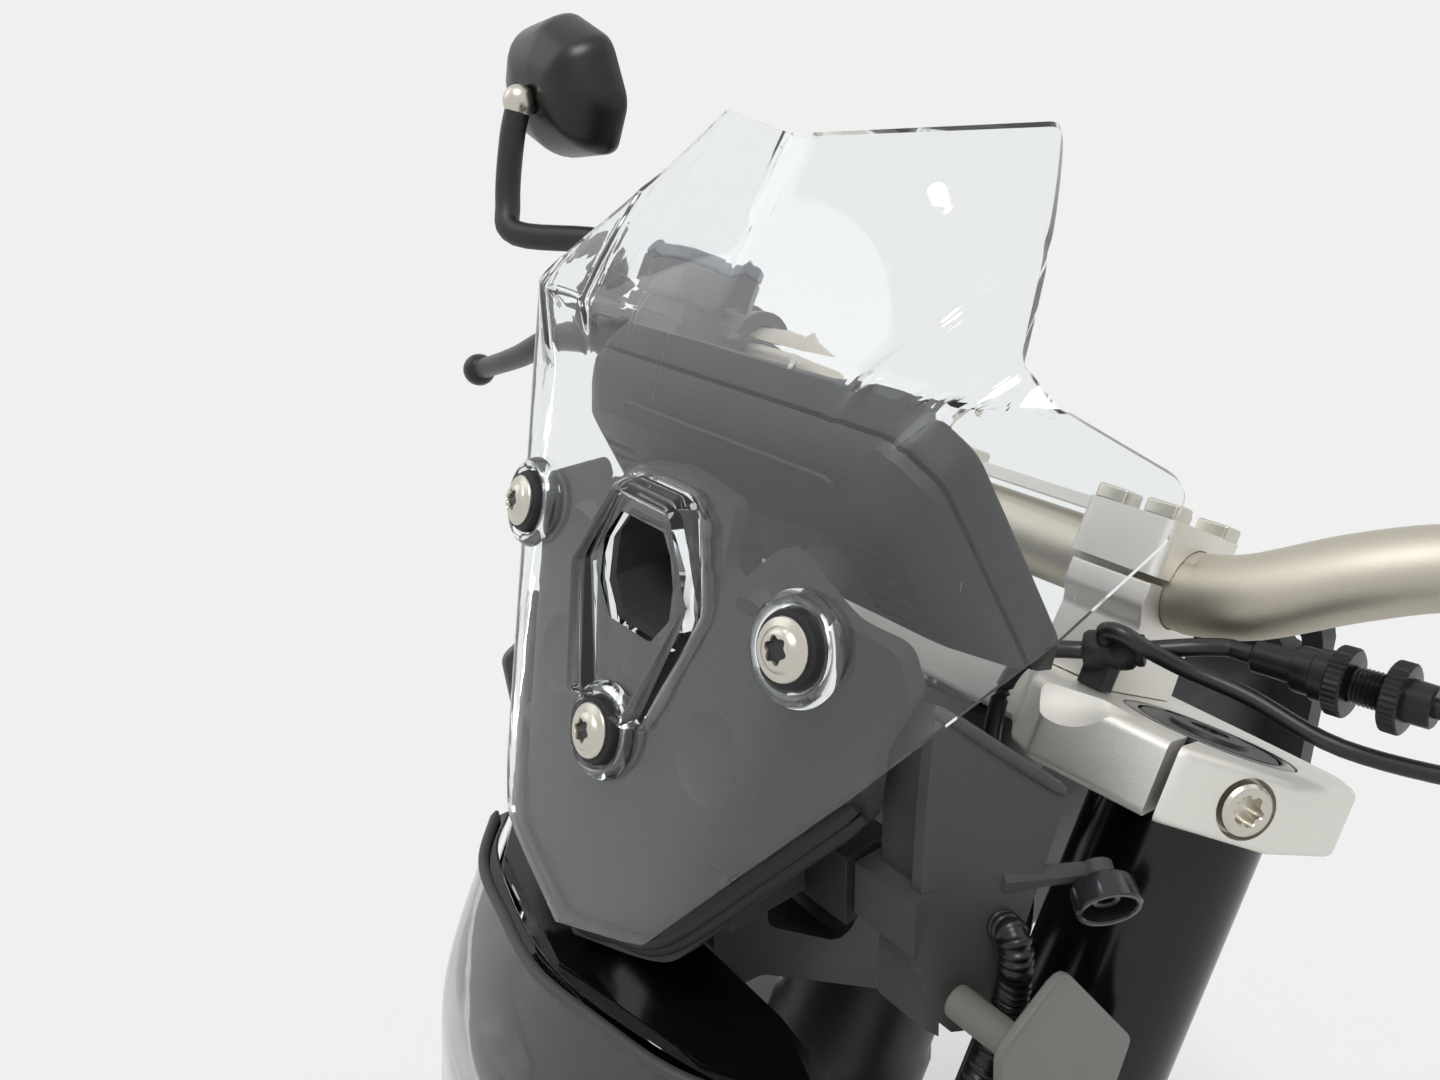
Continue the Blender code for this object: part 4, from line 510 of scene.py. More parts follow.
def carved(shape, *steps):
    """A shape cut by, joined with or kept inside others, each given with its operation."""
    base = as_object(close_shape(shape), "carved")
    others = []
    for operation, other in steps:
        others.append(as_object(close_shape(other), "cutter"))
        step = base.modifiers.new(operation, "BOOLEAN")
        step.operation = operation
        step.solver = "EXACT"
        step.object = others[-1]
    bpy.context.view_layer.update()
    result = bmesh.new()
    result.from_object(base, bpy.context.evaluated_depsgraph_get())
    for item in (base, *others):
        mesh = item.data
        bpy.data.objects.remove(item)
        bpy.data.meshes.remove(mesh)
    return result


def cut(shape, *others):
    """A shape with others taken out of it."""
    return carved(shape, *(("DIFFERENCE", other) for other in others))


def joined(*shapes):
    """Several bmeshes as one."""
    whole = bmesh.new()
    for shape in shapes:
        mesh = bpy.data.meshes.new("part")
        shape.to_mesh(mesh)
        shape.free()
        whole.from_mesh(mesh)
        bpy.data.meshes.remove(mesh)
    return whole


def fold_distance(x, z):
    """How far a point lies outside the line that the wings are folded at."""
    (ax, az), (bx, bz) = FOLD_LINE
    run = Vector((bx - ax, bz - az)).normalized()
    return (abs(x) - ax) * -run.y + (z - az) * run.x


def eased(value):
    """A share from 0 to 1 that starts and ends softly."""
    value = min(max(value, 0.0), 1.0)
    return value * value * (3 - 2 * value)


def sheet_y(x, z):
    """The plain sheet: lower facet, keeled upper facet and side wings."""
    above = max(z - KEEL_FOOT, 0.0)
    out = fold_distance(x, z)
    fold = 0.5 * (out + math.hypot(out, FOLD_SOFTNESS)) - FOLD_SETBACK
    keel = max(abs(x) - KEEL_SPREAD * above, 0.0)
    return (BASE_Y + LOWER_SLOPE * (min(z, KEEL_FOOT) - BASE_Z) + above * (UPPER_SLOPE + KEEL_TURN * keel)
            + FOLD_SLOPE * max(fold, 0.0))


def ridge_rise(x, z):
    """How far the soft folds on the wings stand proud."""
    rise = 0.0
    for (ax, az), (bx, bz) in RIDGES:
        run = Vector((bx - ax, bz - az))
        spot = Vector((abs(x) - ax, z - az))
        share = spot.dot(run) / run.length_squared
        aside = (spot - run * share).length
        fade = eased(min(share + 0.12, 1.12 - share) / 0.25)
        rise += RIDGE_HEIGHT * fade * math.exp(-(aside / RIDGE_WIDTH) ** 2)
    return rise


def lean(surface, x, z):
    """The forward normal of a surface over X and Z."""
    reach = 0.0005
    side = (surface(x + reach, z) - surface(x - reach, z)) / (2 * reach)
    up = (surface(x, z + reach) - surface(x, z - reach)) / (2 * reach)
    return Vector((side, -1, up)).normalized()


def offset_corners(corners, offset):
    """A convex half outline's corners moved out by an offset, made whole across x = 0."""
    whole = [*corners, *[(-x, z) for x, z in reversed(corners)]]
    moved_out = []
    for index, here in enumerate(whole):
        before, after = Vector(whole[index - 1]), Vector(whole[(index + 1) % len(whole)])
        first = (Vector(here) - before).normalized()
        second = (after - Vector(here)).normalized()
        sides = [Vector((-run.y, run.x)) for run in (first, second)]
        if sides[0].dot(Vector(here) - Vector((0, 0.06))) < 0:
            sides = [-side for side in sides]
        total = sides[0] + sides[1]
        moved_out.append(Vector(here) + total * (offset / (1 + sides[0].dot(sides[1]))))
    return [tuple(spot) for spot in moved_out]


def cut_flat(shape, geom, planes):
    """Cuts flat geometry in X and Z along planes given by a place and a normal."""
    for spot, normal in planes:
        geom = bmesh.ops.bisect_plane(shape, geom=geom, dist=1e-6, plane_co=spot, plane_no=normal)["geom"]
    return geom


def grid_planes(columns, rows):
    """Planes square to X at the columns and square to Z at the rows."""
    return [((x, 0, 0), (1, 0, 0)) for x in columns] + [((0, 0, z), (0, 0, 1)) for z in rows]


def line_planes(lines, offsets=(0.0,)):
    """Planes through lines in X and Z and at offsets beside them, on both sides of x = 0."""
    planes = []
    for (ax, az), (bx, bz) in lines:
        way = Vector((bz - az, ax - bx)).normalized()
        for side in (1, -1):
            for offset in offsets:
                spot = (side * (ax + way.x * offset), 0, az + way.y * offset)
                planes.append((spot, (side * way.x, 0, way.y)))
    return planes


def loop_in(shape, points):
    """A closed loop of edges at (x, z) points."""
    verts = [shape.verts.new((x, 0, z)) for x, z in points]
    edges = [shape.edges.new((verts[k - 1], verts[k])) for k in range(len(verts))]
    return verts, edges


def spaced(low, high, step):
    """Evenly spaced values between two ends, about a step apart."""
    count = round((high - low) / step)
    return [low + (high - low) * k / count for k in range(1, count)]


def on_sheet(x, z):
    """The frame of a piece on the windscreen's surface: +Z points ahead, out of it."""
    return at((x, sheet_y(x, z), z), lean(sheet_y, x, z))


def panel_between(surface, rows, columns, front, back):
    """A curved panel between two setbacks behind a surface, from a grid."""
    shape = bmesh.new()
    bmesh.ops.create_grid(shape, x_segments=len(columns) - 1, y_segments=len(rows) - 1, size=1.0)
    for vert in shape.verts:
        row, column = (round((place + 1) / 2 * (len(values) - 1))
                       for place, values in ((vert.co.y, rows), (vert.co.x, columns)))
        vert.co = (columns[column], 0, rows[row])
    grown = bmesh.ops.extrude_face_region(shape, geom=shape.faces[:])["geom"]
    far = set(only(bmesh.types.BMVert, grown))
    for vert in shape.verts:
        x, z = vert.co.x, vert.co.z
        setback = back if vert in far else front
        vert.co = Vector((x, surface(x, z), z)) - lean(surface, x, z) * setback
    return shape


def display_point(x, up, out):
    """A place on the display's housing: across, up its face and out of its glass."""
    lean_back = Vector((0, math.cos(DISPLAY_TILT), math.sin(DISPLAY_TILT)))
    rise = Vector((0, -math.sin(DISPLAY_TILT), math.cos(DISPLAY_TILT)))
    return DISPLAY_TOP + Vector((x, 0, 0)) + rise * up + lean_back * out


def display_rings(*rows):
    """Rings round the display's housing from rows of inset and distance out of its glass."""
    outline = whole_outline(0.0, DISPLAY_EDGE, -DISPLAY_HEIGHT, 8)
    middle = -0.055
    return [[display_point(x * (1 - inset / DISPLAY_WIDTH), middle + (up - middle) * (1 + inset / middle),
                           out) for x, up in outline] for inset, out in rows]


def under(height):
    """Everything below a height in the turned frame."""
    return moved(block((-0.2, -0.3, -0.3), (0.2, 0.1, height)), Matrix.Rotation(-RAKE, 4, "X"))


def bar_point(reach):
    """Centre and direction of the bar at a distance from the middle."""
    for start, end in zip(BAR_LINE, BAR_LINE[1:]):
        if reach <= end[0]:
            break
    share = (reach - start[0]) / (end[0] - start[0])
    low, high = Vector(start[:3]), Vector(end[:3])
    return low.lerp(high, share), (high - low).normalized()


def on_bar(reach, side):
    """The frame of a piece on the bar: Z runs outwards along it, X down and Y rearward."""
    centre, direction = bar_point(reach)
    rear = Vector((0, 1, 0))
    rear = (rear - rear.dot(direction) * direction).normalized()
    turn = Matrix((rear.cross(direction), rear, direction)).transposed().to_4x4()
    return side_scale(side) @ Matrix.Translation(centre) @ turn


def screw_at(name, place, body, radius=0.0085, height=0.0034):
    """A round-headed screw with a six-lobed socket and a flange, standing on place's XY plane, with a black
    star of painted shade on the socket's floor.
    """
    socket = radius * 0.34
    lobe = socket * 0.16
    rows = [(radius * 0.9, -0.0004, 0), (radius, 0.0, 0), (radius, 0.0006, 0), (radius * 0.97, 0.001, 0),
            (radius * 0.72, height * 0.52, 0), (radius * 0.62, height * 0.82, 0), (radius * 0.48, height, 0),
            (socket * 1.22, height, lobe), (socket * 1.15, height - 0.0003, lobe),
            (socket * 1.12, height - 0.0019, lobe), (socket * 0.4, height - 0.0023, 0)]
    # A black star set on the socket's floor is painted shade, where the floor lies in its own shade
    painted_shade_star = [(socket * 1.08, height - 0.0021, socket * 0.17), (socket * 1.08, height - 0.0012, socket * 0.17)]
    piece(f"{name}_socket", lobed(painted_shade_star), "black_cast", body, place=place, angle=28)
    piece(name, lobed(rows), "stainless", body, place=place, angle=28)


class ScreenSettings(bpy.types.PropertyGroup):
    """Sizes of the windscreen"""
    thickness: bpy.props.FloatProperty(name="Thickness", description="Thickness of the clear sheet",
                                       default=0.0035, unit="LENGTH")
    rim_rise: bpy.props.FloatProperty(name="Rim rise", description="How far the channel's rim stands proud",
                                      default=0.007, unit="LENGTH")


class ColourSettings(bpy.types.PropertyGroup):
    """Colours of the main finishes, as hex codes"""
    yoke: bpy.props.StringProperty(name="Yokes", description="Colour of the cast yokes and clamp",
                                   default="#DCDAD4")
    bar: bpy.props.StringProperty(name="Handlebar", description="Colour of the anodised bar",
                                  default="#BDB7AA")
    plastic: bpy.props.StringProperty(name="Mouldings", description="Colour of the textured mouldings",
                                      default="#2D2E2C")


class FRONTEND_OT_finishes(bpy.types.Operator):
    """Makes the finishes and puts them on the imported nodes"""
    bl_idname = "frontend.finishes"
    bl_label = "Finishes"

    def execute(self, context):
        make_materials(context.scene.front_end_colours)
        for name, obj in frame["nodes"].items():
            dress(obj, RECORD_SLOTS[name])
        return {"FINISHED"}


class FRONTEND_OT_windscreen(bpy.types.Operator):
    """Adds the folded clear windscreen with its rimmed channel and opening"""
    bl_idname = "frontend.windscreen"
    bl_label = "Windscreen"

    # Rows across the rim: offset from its crest, share of the crest's height, share of the floor's
    RIM = ((0.0046, 0.0, 0.0), (0.0034, 0.1, 0.0), (0.0025, 0.45, 0.0), (0.0018, 0.84, 0.0),
           (0.0009, 1.0, 0.0), (0.0001, 1.0, 0.0), (-0.0006, 0.93, 0.0), (-0.0011, 0.62, 0.3),
           (-0.0015, 0.22, 0.75), (-0.0021, 0.0, 1.0))
    # The rows up to this one leave the sheet's back plain
    SOLID_ROWS = 6
    CREST_RADIUS = 0.0042
    MESH_STEP = 0.006
    # How far beside a fold and a ridge the mesh is cut
    FOLD_CUTS = (-0.008, -0.005, -0.003, -0.0015, 0.0, 0.0015, 0.003, 0.005, 0.008)
    RIDGE_CUTS = (-0.0045, -0.003, -0.002, -0.001, 0.0, 0.001, 0.002, 0.003, 0.0045)

    def floor_ahead(self, z):
        """How far the channel's floor stands ahead of the sheet."""
        if z > FLOOR_TURN:
            return FLOOR_SLOPE * (z - FLOOR_TURN)
        return -0.0015 * eased((z - 0.0285) / 0.006) * (FLOOR_TURN - z) / 0.025

    def crest_ahead(self, z, settings):
        """How far the rim's crest stands ahead of the sheet, fading out at the channel's foot."""
        return (settings.rim_rise + 0.0015 * eased((z - 0.066) / 0.026)) * eased((z - 0.0262) / 0.005)

    def flat_sheet(self, shape):
        """Fills the sheet's outline, rim and opening flat, and gives each corner's row across the rim."""
        edge = loop_in(shape, whole_outline(SCREEN_BOTTOM, SCREEN_EDGE, SCREEN_TOP, 6))[1]
        row_of = {}
        loops = []
        for row, (offset, *_) in enumerate(self.RIM):
            radius = max(self.CREST_RADIUS + offset, 0.001)
            corners = [(x, z, radius) for x, z in offset_corners(CHANNEL, offset)]
            verts, edges = loop_in(shape, rounded(corners, 6))
            row_of.update({vert: row for vert in verts})
            loops.append(edges)
        hole_corners = [(x, z, 0.002) for x, z in offset_corners(OPENING, 0.0)]
        verts, hole = loop_in(shape, rounded(hole_corners, 3))
        row_of.update({vert: len(self.RIM) for vert in verts})
        for outer, inner in zip(loops, loops[1:]):
            bmesh.ops.bridge_loops(shape, edges=outer + inner)
        bmesh.ops.triangle_fill(shape, use_beauty=True, edges=loops[-1] + hole)
        before = set(shape.faces)
        bmesh.ops.triangle_fill(shape, use_beauty=True, edges=edge + loops[0])
        plain = [face for face in shape.faces if face not in before]
        geom = list({vert for face in plain for vert in face.verts})
        geom += list({side for face in plain for side in face.edges}) + plain
        keel_top = (KEEL_SPREAD * (SCREEN_TOP - KEEL_FOOT), SCREEN_TOP)
        planes = grid_planes(spaced(-0.14, 0.14, self.MESH_STEP), spaced(-0.04, 0.192, self.MESH_STEP))
        planes += line_planes([((0.0, KEEL_FOOT), keel_top)]) + grid_planes([], [KEEL_FOOT])
        planes += line_planes([FOLD_LINE], self.FOLD_CUTS) + line_planes(RIDGES, self.RIDGE_CUTS)
        cut_flat(shape, geom, planes)
        return row_of

    def execute(self, context):
        settings = context.scene.front_end_screen
        shape = bmesh.new()
        row_of = self.flat_sheet(shape)
        bmesh.ops.recalc_face_normals(shape, faces=shape.faces)
        front = set(shape.verts)
        copy = bmesh.ops.duplicate(shape, geom=shape.verts[:] + shape.edges[:] + shape.faces[:])
        back_of = {copy["vert_map"][vert]: vert for vert in front}
        for vert in shape.verts:
            x, z = vert.co.x, vert.co.z
            row = row_of.get(back_of.get(vert, vert), 0)
            crest, level = self.RIM[min(row, len(self.RIM) - 1)][1:]
            spot = Vector((x, sheet_y(x, z) - ridge_rise(x, z), z))
            if vert in back_of:
                ahead = self.floor_ahead(z) if row > self.SOLID_ROWS else 0.0
                vert.co = spot - Vector((0, ahead, 0)) - lean(sheet_y, x, z) * settings.thickness
            else:
                ahead = crest * self.crest_ahead(z, settings) + level * self.floor_ahead(z)
                vert.co = spot - Vector((0, ahead, 0))
        rims = [side for side in shape.edges if len(side.link_faces) == 1]
        opening = [side for side in rims
                   if row_of.get(back_of.get(side.verts[0], side.verts[0])) == len(self.RIM)]
        for loop in (opening, [side for side in rims if side not in set(opening)]):
            bmesh.ops.bridge_loops(shape, edges=loop)
        piece("windscreen_sheet", shape, "clear", STATIC, "windscreen", angle=33, soft=0.0008, steps=3,
              soft_from=62)
        collar = [(0.0112, -0.0003), (0.0112, 0.002), (0.012, 0.003), (0.0132, 0.0033), (0.0143, 0.0026),
                  (0.0152, 0.0008), (0.0154, -0.0003)]
        rubber = [(0.0035, -0.0025), (0.0106, -0.0025), (0.0106, 0.0028), (0.01, 0.0042), (0.0088, 0.0048),
                  (0.0035, 0.0048)]
        for index, (x, z) in enumerate(SCREWS):
            place = DATUM @ on_sheet(x, z)
            piece(f"screen_collar_{index}", turned(collar, 64), "clear", STATIC, place=place, angle=40)
            piece(f"screen_grommet_{index}", turned(rubber, 64), "rubber", STATIC, place=place, angle=40)
            screw_at(f"screen_screw_{index}", place @ Matrix.Translation((0, 0, 0.0049)), STATIC)
        return {"FINISHED"}


class FRONTEND_OT_carrier(bpy.types.Operator):
    """Adds the dark carrier behind the windscreen, and the seal under the screen's edge"""
    bl_idname = "frontend.carrier"
    bl_label = "Screen carrier"

    MESH_STEP = 0.004
    # Places in Y: the duct's rear end, and the two ends of a cutter from behind to ahead
    DUCT_REAR, BEHIND, AHEAD = -0.143, -0.1, -0.25

    def moulding(self):
        """The carrier's panel with its duct, bosses, posts and dishes."""
        columns = [-0.1 + self.MESH_STEP * k for k in range(51)]
        rows = [-0.06 + self.MESH_STEP * k for k in range(41)]
        panel = panel_between(sheet_y, rows, columns, CARRIER_SETBACK, CARRIER_SETBACK + CARRIER_THICKNESS)
        outline = whole_outline(CARRIER_BOTTOM, CARRIER_EDGE, CARRIER_TOP, 6)
        wall = rounded([(x, z, 0.004) for x, z in offset_corners(OPENING, 0.003)], 4)
        opening = rounded([(x, z, 0.002) for x, z in offset_corners(OPENING, 0.0002)], 3)
        mouth = [(x, sheet_y(x, z) + 0.0062 - FLOOR_SLOPE * max(z - FLOOR_TURN, 0), z) for x, z in wall]
        steps = [("INTERSECT", forward_prism(outline, self.BEHIND, self.AHEAD)),
                 ("UNION", lofted([mouth, [(x, self.DUCT_REAR, z) for x, z in wall]])),
                 ("DIFFERENCE", forward_prism(opening, self.BEHIND, self.AHEAD))]
        for x, z in SCREWS:
            peg = turned([(0, -0.011), (0.0112, -0.011), (0.0104, -0.0046), (0, -0.0046)], 40)
            steps.append(("UNION", moved(peg, on_sheet(x, z))))
        for side in (1, -1):
            post = block((side * 0.05 - 0.008, -0.1603, -0.018), (side * 0.05 + 0.008, -0.188, 0.002))
            steps.append(("UNION", post))
            # A shallow round dish pressed into the wing
            dish = turned([(0, -0.0112), (0.008, -0.0108), (0.0115, -0.0098), (0.014, -0.008),
                           (0.014, -0.001), (0, -0.001)], 40)
            steps.append(("DIFFERENCE", moved(dish, on_sheet(side * 0.0398, 0.03))))
        return carved(panel, *steps)

    def execute(self, context):
        piece("carrier_moulding", self.moulding(), "dark_plastic", STATIC, "screen_carrier", angle=30,
              soft=0.0012, steps=3)
        for label, side in SIDES:
            foot = display_point(side * 0.044, -0.04, DISPLAY_BACK)
            start = Vector((foot.x, sheet_y(0.044, foot.z - 0.012) + CARRIER_SETBACK + 0.002, foot.z - 0.01))
            rod = swept([foot, start], [0.007, 0.008], 32)
            piece(f"display_post_{label}", rod, "dark_plastic", STATIC, angle=40)
        lip = mirrored([(0.084, 0.03), (0.064, 0.004), (0.041, -0.024), (0.02, -0.033), (0.0, -0.0396)])
        beads = []
        for down, back, radius in ((0.0012, 0.0062, 0.0024), (0.004, 0.008, 0.0026)):
            route = [Vector((x * (1 + down * 6), sheet_y(x, z) + back, z - down)) for x, z in lip]
            path = smooth_path(route, 6)
            beads.append(swept(path, tapered(path, radius, radius * 0.6)))
        piece("screen_seal", joined(*beads), "rubber", STATIC, angle=40)
        return {"FINISHED"}


class FRONTEND_OT_display(bpy.types.Operator):
    """Adds the display's bezel, glass and front shell"""
    bl_idname = "frontend.display"
    bl_label = "Display"

    # Rows from the glass to the rear: how far in from the outline, and how far out of the glass
    BEZEL = ((0.0024, 0.0), (0.0008, -0.0005), (0.0, -0.002), (0.0, -0.0108), (0.001, -0.013))
    POCKET = ((0.008, 0.01), (0.008, -0.0023))
    SHELL = ((0.0022, -0.0138), (0.0012, -0.0146), (0.0016, -0.018), (0.004, -0.0215), (0.01, -0.0285),
             (0.0135, DISPLAY_BACK))
    GLASS = ((0.0085, -0.0003), (0.0083, -0.0007), (0.0083, -0.002))
    # How much higher than the housing's foot the pocket and the glass in it begin
    POCKET_RISE, GLASS_RISE = 0.006, 0.0063
    LOUVRES, LOUVRE_PITCH = 5, 0.0062

    def execute(self, context):
        pocket = cut(lofted(display_rings(*self.POCKET)), under(DISPLAY_FOOT + self.POCKET_RISE))
        shape = cut(lofted(display_rings(*self.BEZEL)), under(DISPLAY_FOOT), pocket)
        piece("display_frame", shape, "display_black", STATIC, "display_bezel", angle=30,
              soft=0.0006)
        cutters = [under(DISPLAY_FOOT)]
        face = Matrix.Translation(display_point(0, 0, DISPLAY_BACK)) @ Matrix.Rotation(DISPLAY_TILT, 4, "X")
        for side in (1, -1):
            for k in range(self.LOUVRES):
                # Short cooling slots low on each side of the shell
                rise = self.LOUVRE_PITCH * k
                slot = block((side * 0.06 - 0.0085, -0.003, -0.057 + rise),
                             (side * 0.06 + 0.0085, 0.003, -0.0546 + rise))
                cutters.append(moved(slot, face))
        shell = cut(lofted(display_rings(*self.SHELL)), *cutters)
        piece("display_back", shell, "display_black", STATIC, "display_shell", angle=30,
              soft=0.0005)
        corners = [(-0.036, -0.0105, 0.004), (0.06, -0.0105, 0.004), (0.06, -0.003, 0.003),
                   (-0.036, -0.003, 0.003)]
        bar = prism(rounded(corners, 4), -0.0002, 0.0012)
        place = DATUM @ face @ Matrix.Rotation(math.pi / 2, 4, "X")
        piece("display_rib", bar, "display_black", STATIC, place=place, angle=30,
              soft=0.0004)
        glass = cut(lofted(display_rings(*self.GLASS)), under(DISPLAY_FOOT + self.GLASS_RISE))
        piece("display_cover_glass", glass, "screen_glass", STATIC, "display_glass", angle=30)
        return {"FINISHED"}


class FRONTEND_OT_yokes(bpy.types.Operator):
    """Adds the top yoke with its slots, scoops and pinch bolts"""
    bl_idname = "frontend.yokes"
    bl_label = "Yokes"

    def execute(self, context):
        leg, low = LEG_X, YOKE_TOP - YOKE_THICKNESS
        corners = [(leg - 0.059, -0.044, 0.012), (leg - 0.039, -0.074, 0.008), (leg - 0.025, -0.086, 0.004),
                   (leg + 0.017, -0.082, 0.008), (leg + 0.037, -0.047, 0.01), (leg + 0.039, -0.004, 0.014),
                   (leg + 0.028, 0.012, 0.008), (leg - 0.005, 0.022, 0.016), (leg - 0.057, 0.036, 0.01)]
        half = [(0.0, -0.04, 0), *corners, (0.0, 0.036, 0)]
        plate = prism(mirrored(rounded(half, 8)), low, YOKE_TOP)
        rims = [e for e in plate.edges if abs(e.verts[0].co.z - e.verts[1].co.z) < 1e-7]
        bmesh.ops.bevel(plate, geom=rims, offset=0.003, segments=5, profile=0.5, affect="EDGES", material=-1,
                        clamp_overlap=True)
        cutters = [drum(STEM_BORE, -THROUGH, THROUGH, 48)]
        mouths = []
        for side in (1, -1):
            place = Matrix.Translation((side * LEG_X, LEG_Y, 0))
            cutters.append(moved(drum(LEG_RADIUS + GAP, -THROUGH, THROUGH, 96), place))
            slot = block((-0.0015, -0.075, low - 0.01), (0.0015, -0.02, YOKE_TOP + 0.01))
            cutters.append(moved(slot, place @ Matrix.Rotation(side * math.radians(16), 4, "Z")))
            scoop = at((side * (leg - 0.022), -0.094, YOKE_TOP + 0.003), (side * 0.35, 1, 0.25))
            cutters.append(moved(drum(0.014, -0.03, 0.03, 64), scoop))
            # The pinch bolt sits in a round recess in the outer wall
            mouths.append(at((side * 0.1353, -0.0588, YOKE_TOP - 0.0115), (side * 0.868, -0.496, 0)))
            recess = turned([(0, -0.004), (0.0088, -0.004), (0.0094, -0.0032), (0.0094, 0.01), (0, 0.01)], 48)
            cutters.append(moved(recess, mouths[-1]))
        piece("top_yoke_casting", cut(plate, *cutters), "yoke_silver", TURNING, "top_yoke", angle=30,
              soft=0.0007)
        head = [(0.0074, -0.0041, 0), (0.0079, -0.0034, 0), (0.0079, 0.0006, 0), (0.007, 0.0014, 0),
                (0.0048, 0.0014, 0), (0.0043, 0.001, 0.0006), (0.0042, -0.0024, 0.0006)]
        for (label, side), mouth in zip(SIDES, mouths):
            piece(f"pinch_bolt_{label}", lobed(head), "stainless", TURNING, place=STEER @ mouth, angle=30)
        return {"FINISHED"}


class FRONTEND_OT_clamp(bpy.types.Operator):
    """Adds the risers and the one-piece clamp over the bar"""
    bl_idname = "frontend.clamp"
    bl_label = "Bar clamp"

    WAIST = ((0.019, 0.014), (0.023, 0.02))
    BOLTS = ((0.0475, -0.034), (0.0665, -0.034), (0.0475, 0.004), (0.0665, 0.004))

    def bar_hole(self):
        """The bar's bore through the clamp."""
        return moved(drum(BAR_RADIUS + GAP, -THROUGH, THROUGH, 64), at((0, BAR_Y, BAR_Z), (1, 0, 0)))

    def execute(self, context):
        foot = YOKE_TOP + GAP
        half = [(0.021, foot, 0.001), *((y, z, 0.006) for y, z in self.WAIST),
                (0.023, BAR_Z - CLAMP_SPLIT, 0.0008)]
        profile = rounded([(-0.021, foot, 0.001)] + half + [(-y, z, r) for y, z, r in reversed(half[1:])], 5)
        for label, side in SIDES:
            middle = side * RISER_X
            shape = across([(y + BAR_Y, z) for y, z in profile], middle - RISER_HALF, middle + RISER_HALF)
            piece(f"riser_{label}", cut(shape, self.bar_hole()), "yoke_silver", TURNING,
                  f"bar_riser_{label}", angle=30, soft=0.0012, steps=3)
        half = [(0, -0.024, 0), (0.036, -0.024, 0.008), (0.04, -0.04, 0.004), (0.074, -0.04, 0.004),
                (0.074, 0.01, 0.004), (0.04, 0.01, 0.004), (0.036, -0.002, 0.008), (0, -0.002, 0)]
        top = prism(mirrored(rounded(half, 6)), BAR_Z + CLAMP_SPLIT, CLAMP_TOP)
        arch = block((-0.036, -0.05, 0), (0.036, 0.02, BAR_Z + 0.0165))
        window = prism(oblong((-0.03, -0.0175), (0.03, -0.0085), 0.003, 5), 0, CLAMP_TOP + 0.01)
        piece("clamp_bridge", cut(top, self.bar_hole(), arch, window), "yoke_silver", TURNING, "bar_clamp",
              angle=30, soft=0.0014, steps=3)
        for label, side in SIDES:
            for row, (x, y) in enumerate(self.BOLTS):
                head = prism(oblong((-0.0058, -0.0058), (0.0058, 0.0058), 0.001, 3), 0, 0.0055)
                place = STEER @ Matrix.Translation((side * x, y, CLAMP_TOP - 0.0004))
                piece(f"clamp_bolt_{label}_{row}", head, "stainless", TURNING, place=place, angle=30,
                      soft=0.0009)
        return {"FINISHED"}


class FRONTEND_OT_bar(bpy.types.Operator):
    """Adds the tapered handlebar, its grips and end weights"""
    bl_idname = "frontend.bar"
    bl_label = "Handlebar"

    GRIP_LENGTH, RIBS, RIB_PITCH = 0.122, 33, 0.0032
    # Steps between two places of the bar's centre line
    SPAN = 6

    def execute(self, context):
        spots = [Vector(row[:3]) for row in BAR_LINE]
        radii = [row[3] for row in BAR_LINE]
        left = smooth_path(spots[1:], self.SPAN)
        spread = []
        for first, second in zip(radii[1:], radii[2:]):
            spread += [first + (second - first) * step / self.SPAN for step in range(self.SPAN)]
        spread.append(radii[-1])
        path = [Vector((-p.x, p.y, p.z)) for p in reversed(left)] + left
        piece("tapered_bar", swept(path, spread[::-1] + spread, 48), "bar_champagne", TURNING, "handlebar",
              angle=40)
        fit = radii[-1] + 0.0008
        ribs = [(fit, 0), (0.0192, 0), (0.0195, 0.0006), (0.0195, 0.0034), (0.019, 0.0042), (0.0164, 0.0058)]
        for k in range(self.RIBS):
            reach = 0.0085 + self.RIB_PITCH * k
            ribs += [(0.0156, reach), (0.0163, reach + 0.0006), (0.0163, reach + 0.0018),
                     (0.0156, reach + 0.0024)]
        ribs += [(0.016, 0.1175), (0.0178, 0.1195), (0.0178, self.GRIP_LENGTH), (fit, self.GRIP_LENGTH)]
        weight = [(0, GAP), (0.0146, GAP), (0.0158, 0.0012), (0.0165, 0.003), (0.0165, 0.015),
                  (0.015, 0.0188), (0.0135, 0.02), (0.0048, 0.02), (0.0042, 0.0192), (0.0042, 0.0165),
                  (0, 0.0165)]
        for label, side in SIDES:
            piece(f"ribbed_grip_{label}", turned(ribs, 48), "rubber", TURNING, f"grip_{label}",
                  STEER @ on_bar(GRIP_AT, side), angle=35)
            piece(f"end_weight_{label}", turned(weight, 64), "black_cast", TURNING, f"bar_end_{label}",
                  STEER @ on_bar(BAR_LINE[-1][0], side), angle=35)
        return {"FINISHED"}


